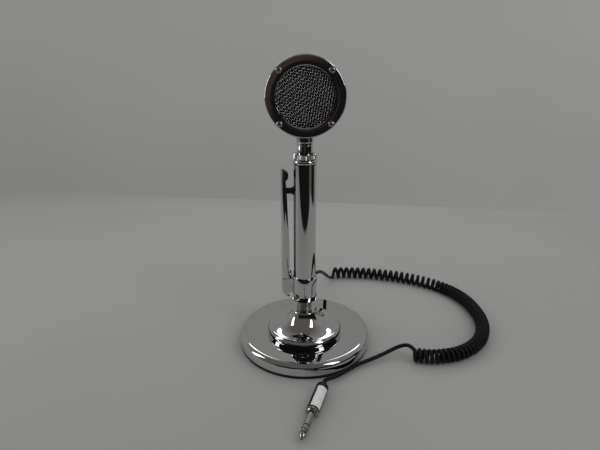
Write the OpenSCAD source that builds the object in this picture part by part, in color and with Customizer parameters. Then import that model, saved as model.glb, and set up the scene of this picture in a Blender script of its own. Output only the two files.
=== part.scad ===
// Crystal microphone on a grip-to-talk desk stand, with a coiled cord and a quarter-inch plug.
// Origin: centre of the base's underside. +Z up, the face of the head looks towards -Y,
// the grip bar is on the -X side of the stem.

/* [Base] */
// Diameter of the base
base_d = 136.5; // [125:0.5:150]
// Thickness of the pad under the base
pad_t = 3.6; // [2:0.1:5]
// How far the pad stays inside the rim
pad_inset = 0.5; // [0.2:0.1:2]
// Wall of the base shell
shell_t = 1.6; // [1:0.1:2.4]
// Height of the rim's rounded shoulder above the table
shoulder_h = 15.4; // [13:0.1:18]
// Radius of the rim's shoulder
shoulder_r = 5.5; // [3:0.1:7]
// How much lower the flat ring lies beside the bell
dish_drop = 1.1; // [0.4:0.1:2]
// Diameter of the step round the foot of the bell
bead_d = 77; // [72:0.5:84]
// Radius of the step's rounded edge
bead_r = 2.6; // [1.5:0.1:3.5]
// Height of the step above the table
bead_h = 20.6; // [19:0.1:23]
// Diameter at the top of the bell
bell_top_d = 25; // [22:0.1:28]
// Height of the bell's top above the table
bell_h = 38.4; // [34:0.1:44]
// Width across the flats of the nut under the base
nut_af = 22.2; // [20:0.1:25]
// Thickness of the nut under the base
nut_t = 5; // [3:0.1:6]

/* [Stud] */
// Diameter of the threaded stud
stud_d = 15.88; // [14:0.01:16.5]
// Length of stud that shows between the bell and the collar
stud_show = 12.8; // [6:0.1:16]

/* [Collar] */
// Diameter of the collar
collar_d = 25.1; // [24.8:0.1:28]
// Height of the collar
collar_h = 26; // [23:0.1:30]
// Depth of the collar's threaded lower part
collar_thread = 8.8; // [8:0.1:11]
// Diameter of the recesses for the set screws
set_recess_d = 7; // [5:0.1:8]
// Diameter of the set screws
set_screw_d = 4.8; // [3:0.1:5]
// Width of the bracket that holds the bar's foot
bracket_w = 10.4; // [9.6:0.1:13]
// Height of the bracket
bracket_h = 12.9; // [11:0.1:14]

/* [Stem] */
// Diameter of the stem tube
tube_d = 22.6; // [22:0.1:24]
// Wall of the stem tube
tube_t = 1.2; // [0.8:0.1:1.4]
// Length of the stem tube
tube_l = 134.5; // [125:0.5:150]
// Diameter of the cap on the tube
cap_d = 23.9; // [23:0.1:27]
// Height of the cap's bead
cap_h = 5; // [4:0.1:7]
// Height above the collar's foot at which the cord leaves
cord_up = 14.3; // [13:0.1:18]

/* [Lock ring] */
// Diameter of the knurled ring
lock_d = 22.9; // [21:0.1:25]
// Height of the knurled ring
lock_h = 5.1; // [4.6:0.1:7]
// Number of grooves in the knurl
lock_grooves = 40; // [24:1:60]
// Depth of the grooves in the knurl
lock_groove = 0.35; // [0.2:0.05:0.5]

/* [Neck] */
// Diameter of the neck's sleeve
sleeve_d = 15.3; // [14.6:0.1:15.8]
// Length of sleeve that shows above the ring
sleeve_l = 9.8; // [6:0.1:14]
// Diameter of the flange under the head
flange_d = 17; // [16:0.1:17.8]
// Height of the flange under the head
flange_h = 6.8; // [5:0.1:8]
// Bore of the neck
neck_bore = 7.2; // [5:0.1:7.6]

/* [Head] */
// Diameter of the face ring
face_d = 72.6; // [71.6:0.1:76]
// Diameter of the opening in the face ring
opening_d = 53.8; // [50:0.1:54.4]
// Distance from the stem's axis to the front of the face ring
face_out = 13; // [12.6:0.1:16]
// Thickness of the face ring
face_t = 4.2; // [3.8:0.1:5]
// Radius of the face ring's outer edge
face_edge = 2.3; // [1:0.1:3.2]
// Diameter of the case behind the ring
case_d = 70.8; // [70:0.1:71.4]
// Distance from the stem's axis to the back of the case
case_back = 12.6; // [11.8:0.1:16]
// Radius of the case's rear edge
case_edge = 5; // [3:0.1:5.4]
// Wall of the case
case_t = 1.2; // [0.8:0.1:1.6]
// Diameter of the circle that the four face screws lie on
screw_pcd = 65.6; // [65:0.1:66]
// Diameter of the face screws' heads
screw_head_d = 6; // [4:0.1:6.4]
// Diameter of the face screws' shanks
screw_d = 2.4; // [2:0.1:2.8]

/* [Grille] */
// Distance between neighbouring wires
wire_pitch = 2.35; // [2.1:0.05:3]
// Diameter of a wire
wire_d = 0.84; // [0.6:0.02:1]
// Turn of the wires against the vertical
wire_turn = -9; // [-20:1:20]
// How far the grille bulges in the middle
grille_bulge = 1.6; // [0:0.1:2.4]
// Width of the rim that holds the wires' ends
grille_rim_w = 2.2; // [1.4:0.1:2.3]

/* [Cartridge] */
// Diameter of the crystal cartridge
cart_d = 49; // [46:0.1:49.6]
// Depth of the crystal cartridge
cart_h = 11; // [8:0.1:11.4]
// Wall of the cartridge
cart_t = 0.8; // [0.5:0.1:1.2]
// Side of the crystal
crystal_w = 13; // [9:0.5:15]
// Thickness of the crystal
crystal_t = 1.6; // [1:0.1:2.4]

/* [Grip bar] */
// Distance from the tube's surface to the bar's outer face
bar_off = 12.1; // [11.6:0.1:14]
// Wall of the bar
bar_t = 1.2; // [0.9:0.05:1.3]
// Width of the bar
bar_w = 10.4; // [10.2:0.1:12]
// Depth of the bar at its foot
bar_deep = 8.2; // [7.4:0.1:8.4]
// Depth of the bar at its top
bar_thin = 4.2; // [3.6:0.1:5]
// Length of the bar above its pivot
bar_l = 122.2; // [116:0.1:125]
// Diameter of the pivot pin
pivot_d = 3; // [2:0.1:3.4]
// Depth of the pivot behind the bar's outer face
pivot_in = 5.7; // [5.5:0.1:6]
// Depth of the pivot below the collar's top
pivot_down = 8.7; // [8.3:0.1:9.2]
// How far the bar goes up past the bumper's middle
bumper_up = 7.9; // [7.4:0.1:14]
// Radius of the bumper
bumper_r = 5; // [4:0.1:5.4]
// Gap between the bumper and the tube at rest
bumper_gap = 4.5; // [4.4:0.1:5.5]

/* [Switch] */
// Height of the plunger up the bar, as a share of its length
plunger_up = 0.8134; // [0.76:0.002:0.84]
// Diameter of the plunger
plunger_d = 6; // [4:0.1:6.4]
// Distance from the plunger down to where the blade is clamped
blade_arm = 36; // [30:0.1:42]
// Thickness of the blades
blade_t = 0.4; // [0.2:0.05:0.5]
// Width of the blades
blade_w = 6; // [4:0.1:6.2]
// Distance between the blades
blade_gap = 6.3; // [6.2:0.1:6.8]

/* [Plug] */
// Diameter of the plug's shank
plug_d = 6.35; // [6:0.01:6.5]
// Length of the plug's shank
plug_l = 30.5; // [28:0.1:32]
// Diameter of the plug's handle
handle_d = 11.6; // [10.5:0.1:14]
// Length of the plug's handle
handle_l = 35; // [30:0.5:45]
// Direction of the plug on the table
plug_dir = -109; // [-112:1:-106]

/* [Cord] */
// Diameter of the cord
cord_d = 4; // [3.4:0.1:4.4]
// Outer diameter of the coiled stretch
coil_d = 15; // [14:0.1:16]

/* [Hidden] */
$fn = 64;
fit = 0.05;
seat = 0.05;
gap = 0.3;
bite = 0.01;

// Heights up the stem
collar_z = bell_h + stud_show;
tube_z = collar_z + collar_thread;
collar_top = collar_z + collar_h;
tube_top = tube_z + tube_l;
cap_top = tube_top + cap_h;
lock_z = cap_top + 0.2;
lock_top = lock_z + lock_h;
flange_z = lock_top + sleeve_l;
case_z = flange_z + flange_h;
head_z = case_z + case_d / 2;
pivot_z = collar_top - pivot_down;
bar_top = pivot_z + bar_l;
plunger_z = pivot_z + bar_l * plunger_up;
bumper_z = bar_top - bumper_up;
cord_z = collar_z + cord_up;

// Radii of the stem
tube_r = tube_d / 2;
tube_in = tube_r - tube_t;
collar_r = collar_d / 2;
bar_x = tube_r + bar_off;
pivot_x = bar_x - pivot_in;
cord_turn = 67;
grommet_r = 3.5;

// Base
base_r = base_d / 2;
bead_x = bead_d / 2 - bead_r;
bell_x = bell_top_d / 2;
bell_rise = bell_h - bead_h;
bell_run = bead_x - bell_x;
bell_arc = (bell_run * bell_run + bell_rise * bell_rise) / (2 * bell_rise);
weight_gap = 0.2;
weight_top = bell_h - 7.5;
nut_z = 7;
nut_hole = nut_af / 2 / cos(30) + 1.5;
stud_foot = nut_z - 1.5;
stud_top = tube_z - 0.4;
stud_bore_r = 3.2;

// Pieces of the stem's top
spigot_down = 8.5;
socket_r = 7;
neck_fit_r = sleeve_d / 2 + 0.07;
neck_in = 4.3;
neck_z = cap_top - neck_in;
socket_z = neck_z - 7.2;
thread_r = 9;
thread_up = 3.7;
pin_ring = 3;
pin_turns = [60, 180, 300];
pin_r = 0.8;
pin_l = 6;
pin_block_r = 5.9;
pin_block_h = 4.2;
contact_down = 3.5;
sleeve_r = sleeve_d / 2;
flange_r = flange_d / 2;
groove_down = 2.5;
groove_w = 0.6;
groove_t = 0.4;
flange_edge = flange_d * 0.094;
spigot_r = 4.8;
spigot_up = 5;
saddle_l = flange_d * 3;
neck_nut_r = 6.4;
neck_nut_h = 2.4;

// Head, in a frame whose z points out of the face and whose y is up
face_r = face_d / 2;
opening_r = opening_d / 2;
case_r = case_d / 2;
case_front = face_out - face_t;
boss_r = 2.4;
web_w = boss_r;
web_l = max(0.1, case_r - case_t / 2 - screw_pcd / 2);
screw_in = 6;
dome_r = screw_head_d * 0.617;
dome_down = screw_head_d * 0.35;
cloth_w = case_front - 0.4;
cloth_t = 0.3;
rim_out = opening_r + 3.5;
rim_in = rim_out - grille_rim_w;
rim_back = case_front + 0.05;
rim_h = 2.1;
wire_w = rim_back + rim_h / 2;
wire_r = wire_d / 2;
wire_wave = wire_r + 0.02;
wire_end = rim_in - 0.06;
cart_r = cart_d / 2;
cart_front = cloth_w - 0.4;
cart_rear = cart_front - cart_h;
gasket_w = 5.7;
gasket_r = cart_r + gasket_w;
gasket_lip = 4.5;
gasket_back = -case_back + case_t + 0.1;
diaphragm_w = cart_front - 1.2;

// Bar and switch
foot_z = collar_top - 1.8;
bracket_edge = bracket_w * 3 / 13;
bracket_root = collar_r - 1;
bracket_drop = bracket_h * 0.52;
bracket_slope = bracket_h * 0.465;
bracket_heel = collar_r * 1.223;
bracket_step = bracket_h * 0.155;
bar_foot = foot_z + 0.6;
bar_edge = bar_w * 3 / 13;
bar_end = 3.35;
pocket_z = pivot_z - 4.5;
pocket_out = bar_x - 1.5;
pocket_in = collar_r + 0.85;
tongue_r = 3.5;
tongue_w = 7.5;
pocket_w = 8;
bumper_x = tube_r + bumper_gap + bumper_r;
plunger_in = 8.2;
head_disc_r = plunger_d / 2 + 0.9;
head_disc_t = 0.6;
nib_r = 2;
nib_h = 0.4;
bush_wall = 1.2;
room_up = tube_top - spigot_down - plunger_z;
blade_x = plunger_in - gap;
blade_foot = plunger_z - blade_arm;
blade_up = room_up * 0.55;
fixed_x = blade_x - blade_t - blade_gap;
stack_h = 11.5;
stack_x = 9.3;
strip_x = 2.5;
strip_t = 1.5;
lug_l = strip_t * 4;
lug_x = strip_x + strip_t * 2.3;
rivet_r = 1.5;
rivet_h = 0.8;
rivet_up = blade_up * 0.7;
stack_screw_r = 1;
stack_head_r = 1.9;
stack_head_h = 1.2;
stack_holes = [0.27, 0.77];

// Wires in the stem
lead_r = 0.5;
core_r = cord_d * 0.3;
core_turns = [90, 330, 210];
cord_end = tube_in * 0.668;
wire_side = tube_in / 2;
wire_low = cord_z + (blade_foot - cord_z) * 0.39;
wire_bend = socket_z - 5;
wire_high = wire_bend - room_up * 0.18;

// Plug
handle_r = handle_d / 2;
shank_r = plug_d / 2;
plug_at = [14.0, -84.6];
tail_l = 5;
tip_l = 9.3;
band_l = 1;
ring_l = 4.4;

// Cord routes, chosen by hand
lead_route = [[2.7, 6.4, 65.5], [5.5, 13, 65.5], [9.4, 22.1, 65.4], [14, 33, 63], [18.3, 47.5, 57.5],
    [22.8, 63, 49], [28, 86, 35], [32.5, 106, 22.5], [36, 123, 12], [38.5, 136, 5.2],
    [40.5, 142.5, 3.2], [45, 144.5, 3]];
coil_route = [[43, 144.5, 7.6], [66, 144.5, 7.6], [90, 141.5, 7.6], [114, 135.5, 7.6], [137, 127, 7.6],
    [157, 116, 7.6], [174, 103, 7.6], [188, 86, 7.6], [197, 65, 7.6], [200.5, 42, 7.6],
    [199.5, 20, 7.6], [194, 0, 7.6], [184, -18, 7.6], [170, -32, 7.6], [154, -41, 7.6],
    [137, -45, 7.6], [121, -45, 7.6], [105, -40.5, 7.6]];
tail_route = [[109, -38, 12.4], [105.5, -34, 12.8], [101, -31.2, 11.6], [95, -30.4, 9.2], [88, -32.5, 7.2],
    [78, -37.5, 5.6], [68, -42.6, 4.8], [59, -47.2, 4.4], [50.5, -52, 4.4], [42.5, -58, 4.5],
    [35, -64.2, 4.7], [28, -70, 5.1], [19.52, -74.6, 5.5], [17.99, -75.75, 5.65], [16.79, -77.21, 5.75],
    [15.96, -78.92, 5.8], [15.64, -79.84, 5.8]];

function blend(a, b, c, d, t) = 0.5 * (2 * b + (c - a) * t + (2 * a - 5 * b + 4 * c - d) * t * t
    + (3 * b - a - 3 * c + d) * t * t * t);
function curve(p, k) = concat(
    [for (i = [0 : len(p) - 2]) for (j = [0 : k - 1])
        blend(p[max(i - 1, 0)], p[i], p[i + 1], p[min(i + 2, len(p) - 1)], j / k)],
    [p[len(p) - 1]]);
function unit(v) = v / norm(v);
function course(p, i) = unit(p[min(i + 1, len(p) - 1)] - p[max(i - 1, 0)]);
function loop(c, t, r, n, up) = let (side = unit(cross(up, t))) [for (k = [0 : n - 1])
    c + r * cos(360 * k / n) * side + r * sin(360 * k / n) * cross(t, side)];
function skin(rings, n) = concat(
    [[for (k = [0 : n - 1]) k]],
    [for (i = [0 : rings - 2]) for (k = [0 : n - 1]) [(i + 1) * n + k, i * n + (k + 1) % n, i * n + k]],
    [for (i = [0 : rings - 2]) for (k = [0 : n - 1])
        [(i + 1) * n + k, (i + 1) * n + (k + 1) % n, i * n + (k + 1) % n]],
    [[for (k = [n - 1 : -1 : 0]) (rings - 1) * n + k]]);

// A tube of n sides that follows the points p, which never run along the direction up
module swept(p, r, n, up = [0, 0, 1]) {
    polyhedron([for (i = [0 : len(p) - 1]) each loop(p[i], course(p, i), r, n, up)], skin(len(p), n), 4);
}

// Places children in the head's own frame
module on_head() {
    translate([0, 0, head_z]) rotate([90, 0, 0]) children();
}

// A bar along X that starts at x
module rod_x(x, z, r, l) {
    translate([x, 0, z]) rotate([0, 90, 0]) cylinder(r = r, h = l);
}

// A ring with a rectangular section
module hoop(r_out, r_in, h) {
    difference() {
        cylinder(r = r_out, h = h);
        translate([0, 0, -1]) cylinder(r = r_in, h = h + 2);
    }
}

// A slab in the XZ plane, of the outline given by its children, centred on Y
module slab(w) {
    rotate([90, 0, 0]) linear_extrude(height = w, center = true) children();
}

// An upright bar of the width w whose two edges on -X are rounded to the radius e
module rounded_bar(w, e, h) {
    translate([e, -w / 2, 0]) cube([bar_x, w, h]);
    translate([0, e - w / 2, 0]) cube([bar_x, w - 2 * e, h]);
    for (s = [-1, 1]) translate([e, s * (w / 2 - e), 0]) cylinder(r = e, h = h);
}

// Half section of the base, its skin moved in by o
module base_section(o) {
    difference() {
        union() {
            translate([0, pad_t]) square([base_r - o, shoulder_h - shoulder_r - pad_t]);
            translate([base_r - shoulder_r, shoulder_h - shoulder_r]) circle(r = shoulder_r - o);
            polygon([[0, pad_t], [base_r - shoulder_r, pad_t], [base_r - shoulder_r, shoulder_h - o],
                [bead_x, shoulder_h - dish_drop - o], [0, shoulder_h - dish_drop - o]]);
            translate([bead_x, bead_h - bead_r]) circle(r = bead_r - min(o, bead_r - 0.4));
            translate([0, pad_t]) square([bead_x, bead_h - o - pad_t]);
            translate([bead_x - 0.5, pad_t]) square([bead_r + 0.5 - o, bead_h - bead_r - pad_t]);
            difference() {
                translate([0, pad_t]) square([bead_x, bell_h - pad_t]);
                translate([bead_x, bead_h + bell_arc]) circle(r = bell_arc + o, $fn = 128);
            }
        }
        translate([-base_r, -1]) square([base_r, bell_h + 2]);
        translate([0, -1]) square([base_r + 1, pad_t + 1]);
    }
}

module base_pad() {
    color([0.05, 0.05, 0.05]) hoop(base_r - pad_inset, nut_hole, pad_t);
}

module base_shell() {
    color([0.8, 0.8, 0.82]) difference() {
        rotate_extrude($fn = 128) base_section(0);
        rotate_extrude($fn = 128) intersection() {
            base_section(shell_t);
            translate([0, -1]) square([base_r, weight_top + 1.3]);
        }
        cylinder(r = stud_d / 2 + fit, h = bell_h + 1);
    }
}

module base_weight() {
    color([0.22, 0.22, 0.23]) difference() {
        rotate_extrude($fn = 128) intersection() {
            base_section(shell_t + weight_gap);
            translate([0, pad_t + seat]) square([base_r, weight_top - pad_t]);
        }
        cylinder(r = stud_d / 2 + 0.3, h = bell_h);
        cylinder(r = nut_hole, h = nut_z + nut_t + 0.1);
    }
}

module base_stud() {
    color([0.6, 0.58, 0.52]) difference() {
        translate([0, 0, stud_foot]) cylinder(d = stud_d, h = stud_top - stud_foot);
        translate([0, 0, stud_foot - 1]) cylinder(r = stud_bore_r, h = stud_top - stud_foot + 2);
    }
}

module base_nut() {
    color([0.62, 0.6, 0.54]) translate([0, 0, nut_z]) difference() {
        cylinder(r = nut_af / 2 / cos(30), h = nut_t, $fn = 6);
        translate([0, 0, -1]) cylinder(r = stud_d / 2 + fit, h = nut_t + 2);
    }
}

// Turns about the stem to each set screw
set_turns = [-130, -10, 110];
set_up = 6;
set_z = collar_z + set_up;
set_recess = 0.8;

module bracket_outline() {
    low = foot_z - bracket_h;
    polygon([[-bracket_root, foot_z], [-bar_x, foot_z], [-bar_x, low],
        [-bar_x + bracket_slope, low - bracket_drop], [-bracket_heel, low - bracket_drop],
        [-bracket_heel, low - bracket_step], [-bracket_root, low - bracket_step]]);
}

module stem_collar() {
    color([0.78, 0.78, 0.8]) difference() {
        union() {
            translate([0, 0, collar_z]) cylinder(r1 = collar_r - 0.5, r2 = collar_r, h = 0.5);
            translate([0, 0, collar_z + 0.5]) cylinder(r = collar_r, h = collar_h - 0.8);
            translate([0, 0, collar_top - 0.3]) cylinder(r1 = collar_r, r2 = collar_r - 0.3, h = 0.3);
            intersection() {
                slab(bracket_w) bracket_outline();
                translate([-bar_x, 0, 0]) rounded_bar(bracket_w, bracket_edge, collar_top);
            }
        }
        translate([0, 0, collar_z - 1]) cylinder(r = stud_d / 2 + fit, h = collar_h);
        translate([0, 0, tube_z]) cylinder(r = tube_r + fit, h = collar_h);
        translate([-pocket_out, -pocket_w / 2, pocket_z]) cube([pocket_out - pocket_in, pocket_w, collar_h]);
        translate([-pivot_x, 0, pivot_z]) rotate([90, 0, 0])
            cylinder(r = pivot_d / 2 + bite, h = bracket_w + 2, center = true);
        for (a = set_turns) rotate([0, 0, a]) {
            rod_x(0, set_z, set_screw_d / 2 + bite, collar_r + 1);
            rod_x(collar_r - set_recess, set_z, set_recess_d / 2, 4);
        }
        rotate([0, 0, cord_turn]) rod_x(tube_r - 2, cord_z, grommet_r + fit, 8);
    }
}

module collar_set_screws() {
    color([0.45, 0.45, 0.46]) for (a = set_turns) rotate([0, 0, a]) difference() {
        rod_x(stud_d / 2 + 0.15, set_z, set_screw_d / 2, collar_r - stud_d / 2 - 0.45);
        translate([collar_r - 1.1, -set_screw_d / 2, set_z - 0.4]) cube([1.2, set_screw_d, 0.8]);
    }
}

module stem_tube() {
    color([0.8, 0.8, 0.82]) difference() {
        translate([0, 0, tube_z]) cylinder(r = tube_r, h = tube_l);
        translate([0, 0, tube_z - 1]) cylinder(r = tube_in, h = tube_l + 2);
        rod_x(-tube_r - 1, plunger_z, plunger_d / 2 + bush_wall, tube_r);
        rotate([0, 0, cord_turn]) rod_x(0, cord_z, grommet_r + fit, tube_r + 1);
    }
}

module tube_cap() {
    color([0.8, 0.8, 0.82]) difference() {
        union() {
            translate([0, 0, tube_top - spigot_down]) cylinder(r = tube_in - fit, h = spigot_down + 1);
            translate([0, 0, tube_top]) rotate_extrude() {
                square([cap_d / 2 - cap_h / 2, cap_h]);
                intersection() {
                    translate([cap_d / 2 - cap_h / 2, cap_h / 2]) circle(d = cap_h);
                    square([cap_d, cap_h]);
                }
            }
            translate([0, 0, cap_top - 1]) cylinder(r = thread_r, h = thread_up + 1);
        }
        translate([0, 0, neck_z]) cylinder(r = neck_fit_r, h = 20);
        translate([0, 0, socket_z]) cylinder(r = socket_r, h = 20);
        translate([0, 0, socket_z - 5]) cylinder(r = 4, h = 20);
        translate([lug_x, 0, tube_top - spigot_down - 1])
            cylinder(r = stack_screw_r + bite, h = spigot_down / 2);
    }
}

module head_socket() {
    color([0.12, 0.09, 0.07]) difference() {
        translate([0, 0, socket_z + seat]) cylinder(r = socket_r - fit, h = neck_z - socket_z - 0.15);
        for (a = pin_turns) rotate([0, 0, a])
            translate([pin_ring, 0, socket_z - 1]) cylinder(r = pin_r + 0.55, h = 12);
    }
}

module socket_contacts() {
    color([0.78, 0.62, 0.3]) for (a = pin_turns) rotate([0, 0, a]) translate([pin_ring, 0, 0])
        difference() {
            union() {
                translate([0, 0, socket_z + seat]) cylinder(r = pin_r + 0.5, h = neck_z - socket_z - 0.2);
                translate([0, 0, socket_z - contact_down]) cylinder(r = pin_r, h = contact_down + 0.5);
            }
            translate([0, 0, neck_z - pin_l - 0.6]) cylinder(r = pin_r + fit, h = pin_l + 2);
        }
}

module bar_pivot_pin() {
    color([0.7, 0.7, 0.72]) translate([-pivot_x, 0, pivot_z]) rotate([90, 0, 0])
        cylinder(d = pivot_d, h = bracket_w - 0.1, center = true);
}

// Hairpin of spring strip between the bar's foot and the collar
spring_t = 0.5;
spring_x = pocket_in;
spring_far = pivot_x - 1 - seat;
spring_r = (spring_far - spring_x) / 2;

module return_spring() {
    color([0.06, 0.06, 0.06]) slab(blade_w) {
        translate([-spring_x - spring_t, pocket_z + gap])
            square([spring_t, collar_top + 3 - pocket_z - gap]);
        translate([-spring_far, pivot_z + tongue_r + gap])
            square([spring_t, collar_top + 3 - pivot_z - tongue_r - gap]);
        intersection() {
            translate([-spring_x - spring_r, collar_top + 3]) difference() {
                circle(r = spring_r);
                circle(r = spring_r - spring_t);
            }
            translate([-bar_x, collar_top + 3]) square([bar_x, 10]);
        }
    }
}

module plunger_bush() {
    color([0.07, 0.07, 0.07]) difference() {
        rod_x(-tube_r - 0.9, plunger_z, plunger_d / 2 + bush_wall - fit, 2.9);
        rod_x(-tube_r - 2, plunger_z, plunger_d / 2 + 0.06, 6);
        translate([0, 0, plunger_z]) cylinder(r = 9.35, h = 20, center = true);
    }
}

module switch_bracket() {
    color([0.68, 0.66, 0.6]) difference() {
        union() {
            translate([strip_x, -blade_w / 2, blade_foot - stack_h - 1])
                cube([strip_t, blade_w, tube_top - spigot_down - seat - blade_foot + stack_h + 1]);
            translate([strip_x, -blade_w / 2, tube_top - spigot_down - seat - strip_t])
                cube([lug_l, blade_w, strip_t]);
        }
        for (k = stack_holes) rod_x(0, blade_foot - stack_h * k, stack_screw_r + bite, 8);
        translate([lug_x, 0, tube_top - spigot_down - 4]) cylinder(r = stack_screw_r + 0.1, h = 6);
    }
}

module bracket_screw() {
    low = tube_top - spigot_down - seat - strip_t;
    color([0.7, 0.66, 0.5]) translate([lug_x, 0, low]) {
        translate([0, 0, -0.1]) cylinder(r = stack_screw_r, h = socket_z - low);
        translate([0, 0, -stack_head_h - seat]) cylinder(r = stack_head_r, h = stack_head_h);
    }
}

module stack_block(x, w) {
    translate([-x, -blade_w / 2 - 0.2, blade_foot - stack_h - 0.4]) cube([w, blade_w + 0.4, stack_h]);
}

module switch_insulators() {
    color([0.35, 0.2, 0.1]) difference() {
        union() {
            stack_block(stack_x, stack_x - blade_x - 0.01);
            stack_block(blade_x - blade_t, blade_gap - 0.02);
            stack_block(fixed_x - blade_t, strip_x + fixed_x - blade_t - 0.02);
        }
        for (k = stack_holes) rod_x(-tube_r, blade_foot - stack_h * k, stack_screw_r + 0.1, tube_r * 2);
    }
}

module fixed_blade() {
    color([0.8, 0.7, 0.42]) difference() {
        union() {
            translate([-fixed_x - 0.01, -blade_w / 2, blade_foot - stack_h])
                cube([blade_t, blade_w, blade_arm + stack_h + blade_up - 1]);
            rod_x(-fixed_x - rivet_h, plunger_z + rivet_up, rivet_r, rivet_h + blade_t);
        }
        for (k = stack_holes) rod_x(-tube_r, blade_foot - stack_h * k, stack_screw_r + 0.1, tube_r * 2);
    }
}

module switch_screws() {
    color([0.7, 0.66, 0.5]) for (k = stack_holes) {
        rod_x(-stack_x + 0.5, blade_foot - stack_h * k, stack_screw_r, stack_x + strip_x + strip_t - 0.4);
        rod_x(strip_x + strip_t + 0.02, blade_foot - stack_h * k, stack_head_r, stack_head_h);
    }
}

// Where the wire at the angle a comes out of the cord's end, and its route up the side at (x, y) to a contact
function core(a) = let (s = core_r * cos(a)) [cord_end * cos(cord_turn) - s * sin(cord_turn),
    cord_end * sin(cord_turn) + s * cos(cord_turn), cord_z + core_r * sin(a)];
function wire_route(p, x, y, a) = [p, p + core_r * [-0.4, -1, 0.33], [x, y, wire_low], [x, y, wire_high],
    [pin_ring * cos(a), pin_ring * sin(a), wire_bend],
    [pin_ring * cos(a), pin_ring * sin(a), socket_z - contact_down - 0.1]];

module stem_wires() {
    color([0.5, 0.12, 0.1]) {
        swept(wire_route(core(core_turns[0]), pin_ring / 2, wire_side, pin_turns[0]), lead_r, 6, [1, 0, 0]);
        swept(wire_route(core(core_turns[1]), -0.4 * tube_in, wire_side, pin_turns[1]), lead_r, 6, [1, 0, 0]);
        swept(wire_route(core(core_turns[2]), pin_ring / 2, -wire_side, pin_turns[2]), lead_r, 6, [1, 0, 0]);
    }
}

module cord_grommet() {
    color([0.05, 0.05, 0.05]) rotate([0, 0, cord_turn]) difference() {
        union() {
            rod_x(tube_in - 0.4, cord_z, grommet_r, collar_r - tube_in + 2);
            rod_x(collar_r + 0.1, cord_z, grommet_r + 1.1, 1.6);
        }
        rod_x(tube_in - 2, cord_z, cord_d / 2 + fit, 20);
    }
}

module cord_crimp() {
    color([0.7, 0.66, 0.5]) rotate([0, 0, cord_turn]) difference() {
        rod_x(6.6, cord_z, cord_d / 2 + 0.9, 2.8);
        rod_x(5, cord_z, cord_d / 2 + fit, 20);
    }
}

module cord_lead() {
    color([0.04, 0.04, 0.04]) swept(curve(lead_route, 2), cord_d / 2, 8);
}

module cord_coil() {
    color([0.04, 0.04, 0.04]) swept(coil_route, coil_d / 2, 12);
}

module cord_tail() {
    color([0.04, 0.04, 0.04]) swept(curve(tail_route, 1), cord_d / 2, 8);
}

// Places children along the plug, its z pointing out of the handle towards the tip
module on_plug(along) {
    translate([plug_at[0], plug_at[1], handle_r]) rotate([0, 90, plug_dir]) translate([0, 0, along])
        children();
}

module plug_boot() {
    color([0.04, 0.04, 0.04]) on_plug(-tail_l)
        cylinder(r1 = cord_d / 2 + 0.3, r2 = cord_d / 2 + 0.9, h = tail_l);
}

module plug_handle() {
    color([0.05, 0.05, 0.05]) on_plug(0) rotate_extrude() {
        square([handle_r - 2.2, 3]);
        translate([0, 2.2]) square([handle_r, handle_l - 2.2]);
        intersection() {
            translate([handle_r - 2.2, 2.2]) circle(r = 2.2);
            square([handle_r, 3]);
        }
    }
}

module plug_flange() {
    color([0.62, 0.6, 0.52]) on_plug(handle_l) {
        cylinder(r = handle_r, h = 1.8);
        translate([0, 0, 1.8]) cylinder(r1 = handle_r - 0.2, r2 = handle_r - 1.6, h = 1.2);
    }
}

shank_z = handle_l + 3;
sleeve_len = plug_l - tip_l - ring_l - 2 * band_l;

module plug_sleeve() {
    color([0.66, 0.64, 0.56]) on_plug(shank_z) cylinder(r = shank_r, h = sleeve_len);
}

module plug_insulators() {
    color([0.05, 0.05, 0.05]) {
        on_plug(shank_z + sleeve_len) cylinder(r = shank_r, h = band_l);
        on_plug(shank_z + sleeve_len + band_l + ring_l) cylinder(r = shank_r, h = band_l);
    }
}

module plug_ring() {
    color([0.66, 0.64, 0.56]) on_plug(shank_z + sleeve_len + band_l) cylinder(r = shank_r, h = ring_l);
}

module plug_tip() {
    color([0.66, 0.64, 0.56]) on_plug(shank_z + plug_l - tip_l) {
        cylinder(r = shank_r, h = 1.4);
        translate([0, 0, 1.4]) cylinder(r1 = shank_r, r2 = shank_r - 0.8, h = 0.9);
        translate([0, 0, 2.3]) cylinder(r = shank_r - 0.8, h = 0.6);
        translate([0, 0, 2.9]) cylinder(r1 = shank_r - 0.8, r2 = shank_r, h = 1.6);
        translate([0, 0, 4.5]) cylinder(r = shank_r, h = 0.5);
        translate([0, 0, 5]) cylinder(r1 = shank_r, r2 = 1.1, h = tip_l - 5.6);
        translate([0, 0, tip_l - 0.6]) cylinder(r1 = 1.1, r2 = 0.4, h = 0.6);
    }
}

// Side view of the bar: deep at the foot, thin and rounded at the top
module bar_outline() {
    polygon([[-bar_x, bar_foot], [-bar_x + bar_deep, bar_foot], [-bar_x + bar_deep, bar_foot + bar_l * 0.23],
        [-bar_x + (bar_deep + bar_thin) / 2 - 0.2, plunger_z - 3], [-bar_x + bar_thin, bar_top - bar_thin / 2],
        [-bar_x, bar_top - bar_thin / 2]]);
    translate([-bar_x + bar_thin / 2, bar_top - bar_thin / 2]) circle(d = bar_thin);
}

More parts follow.
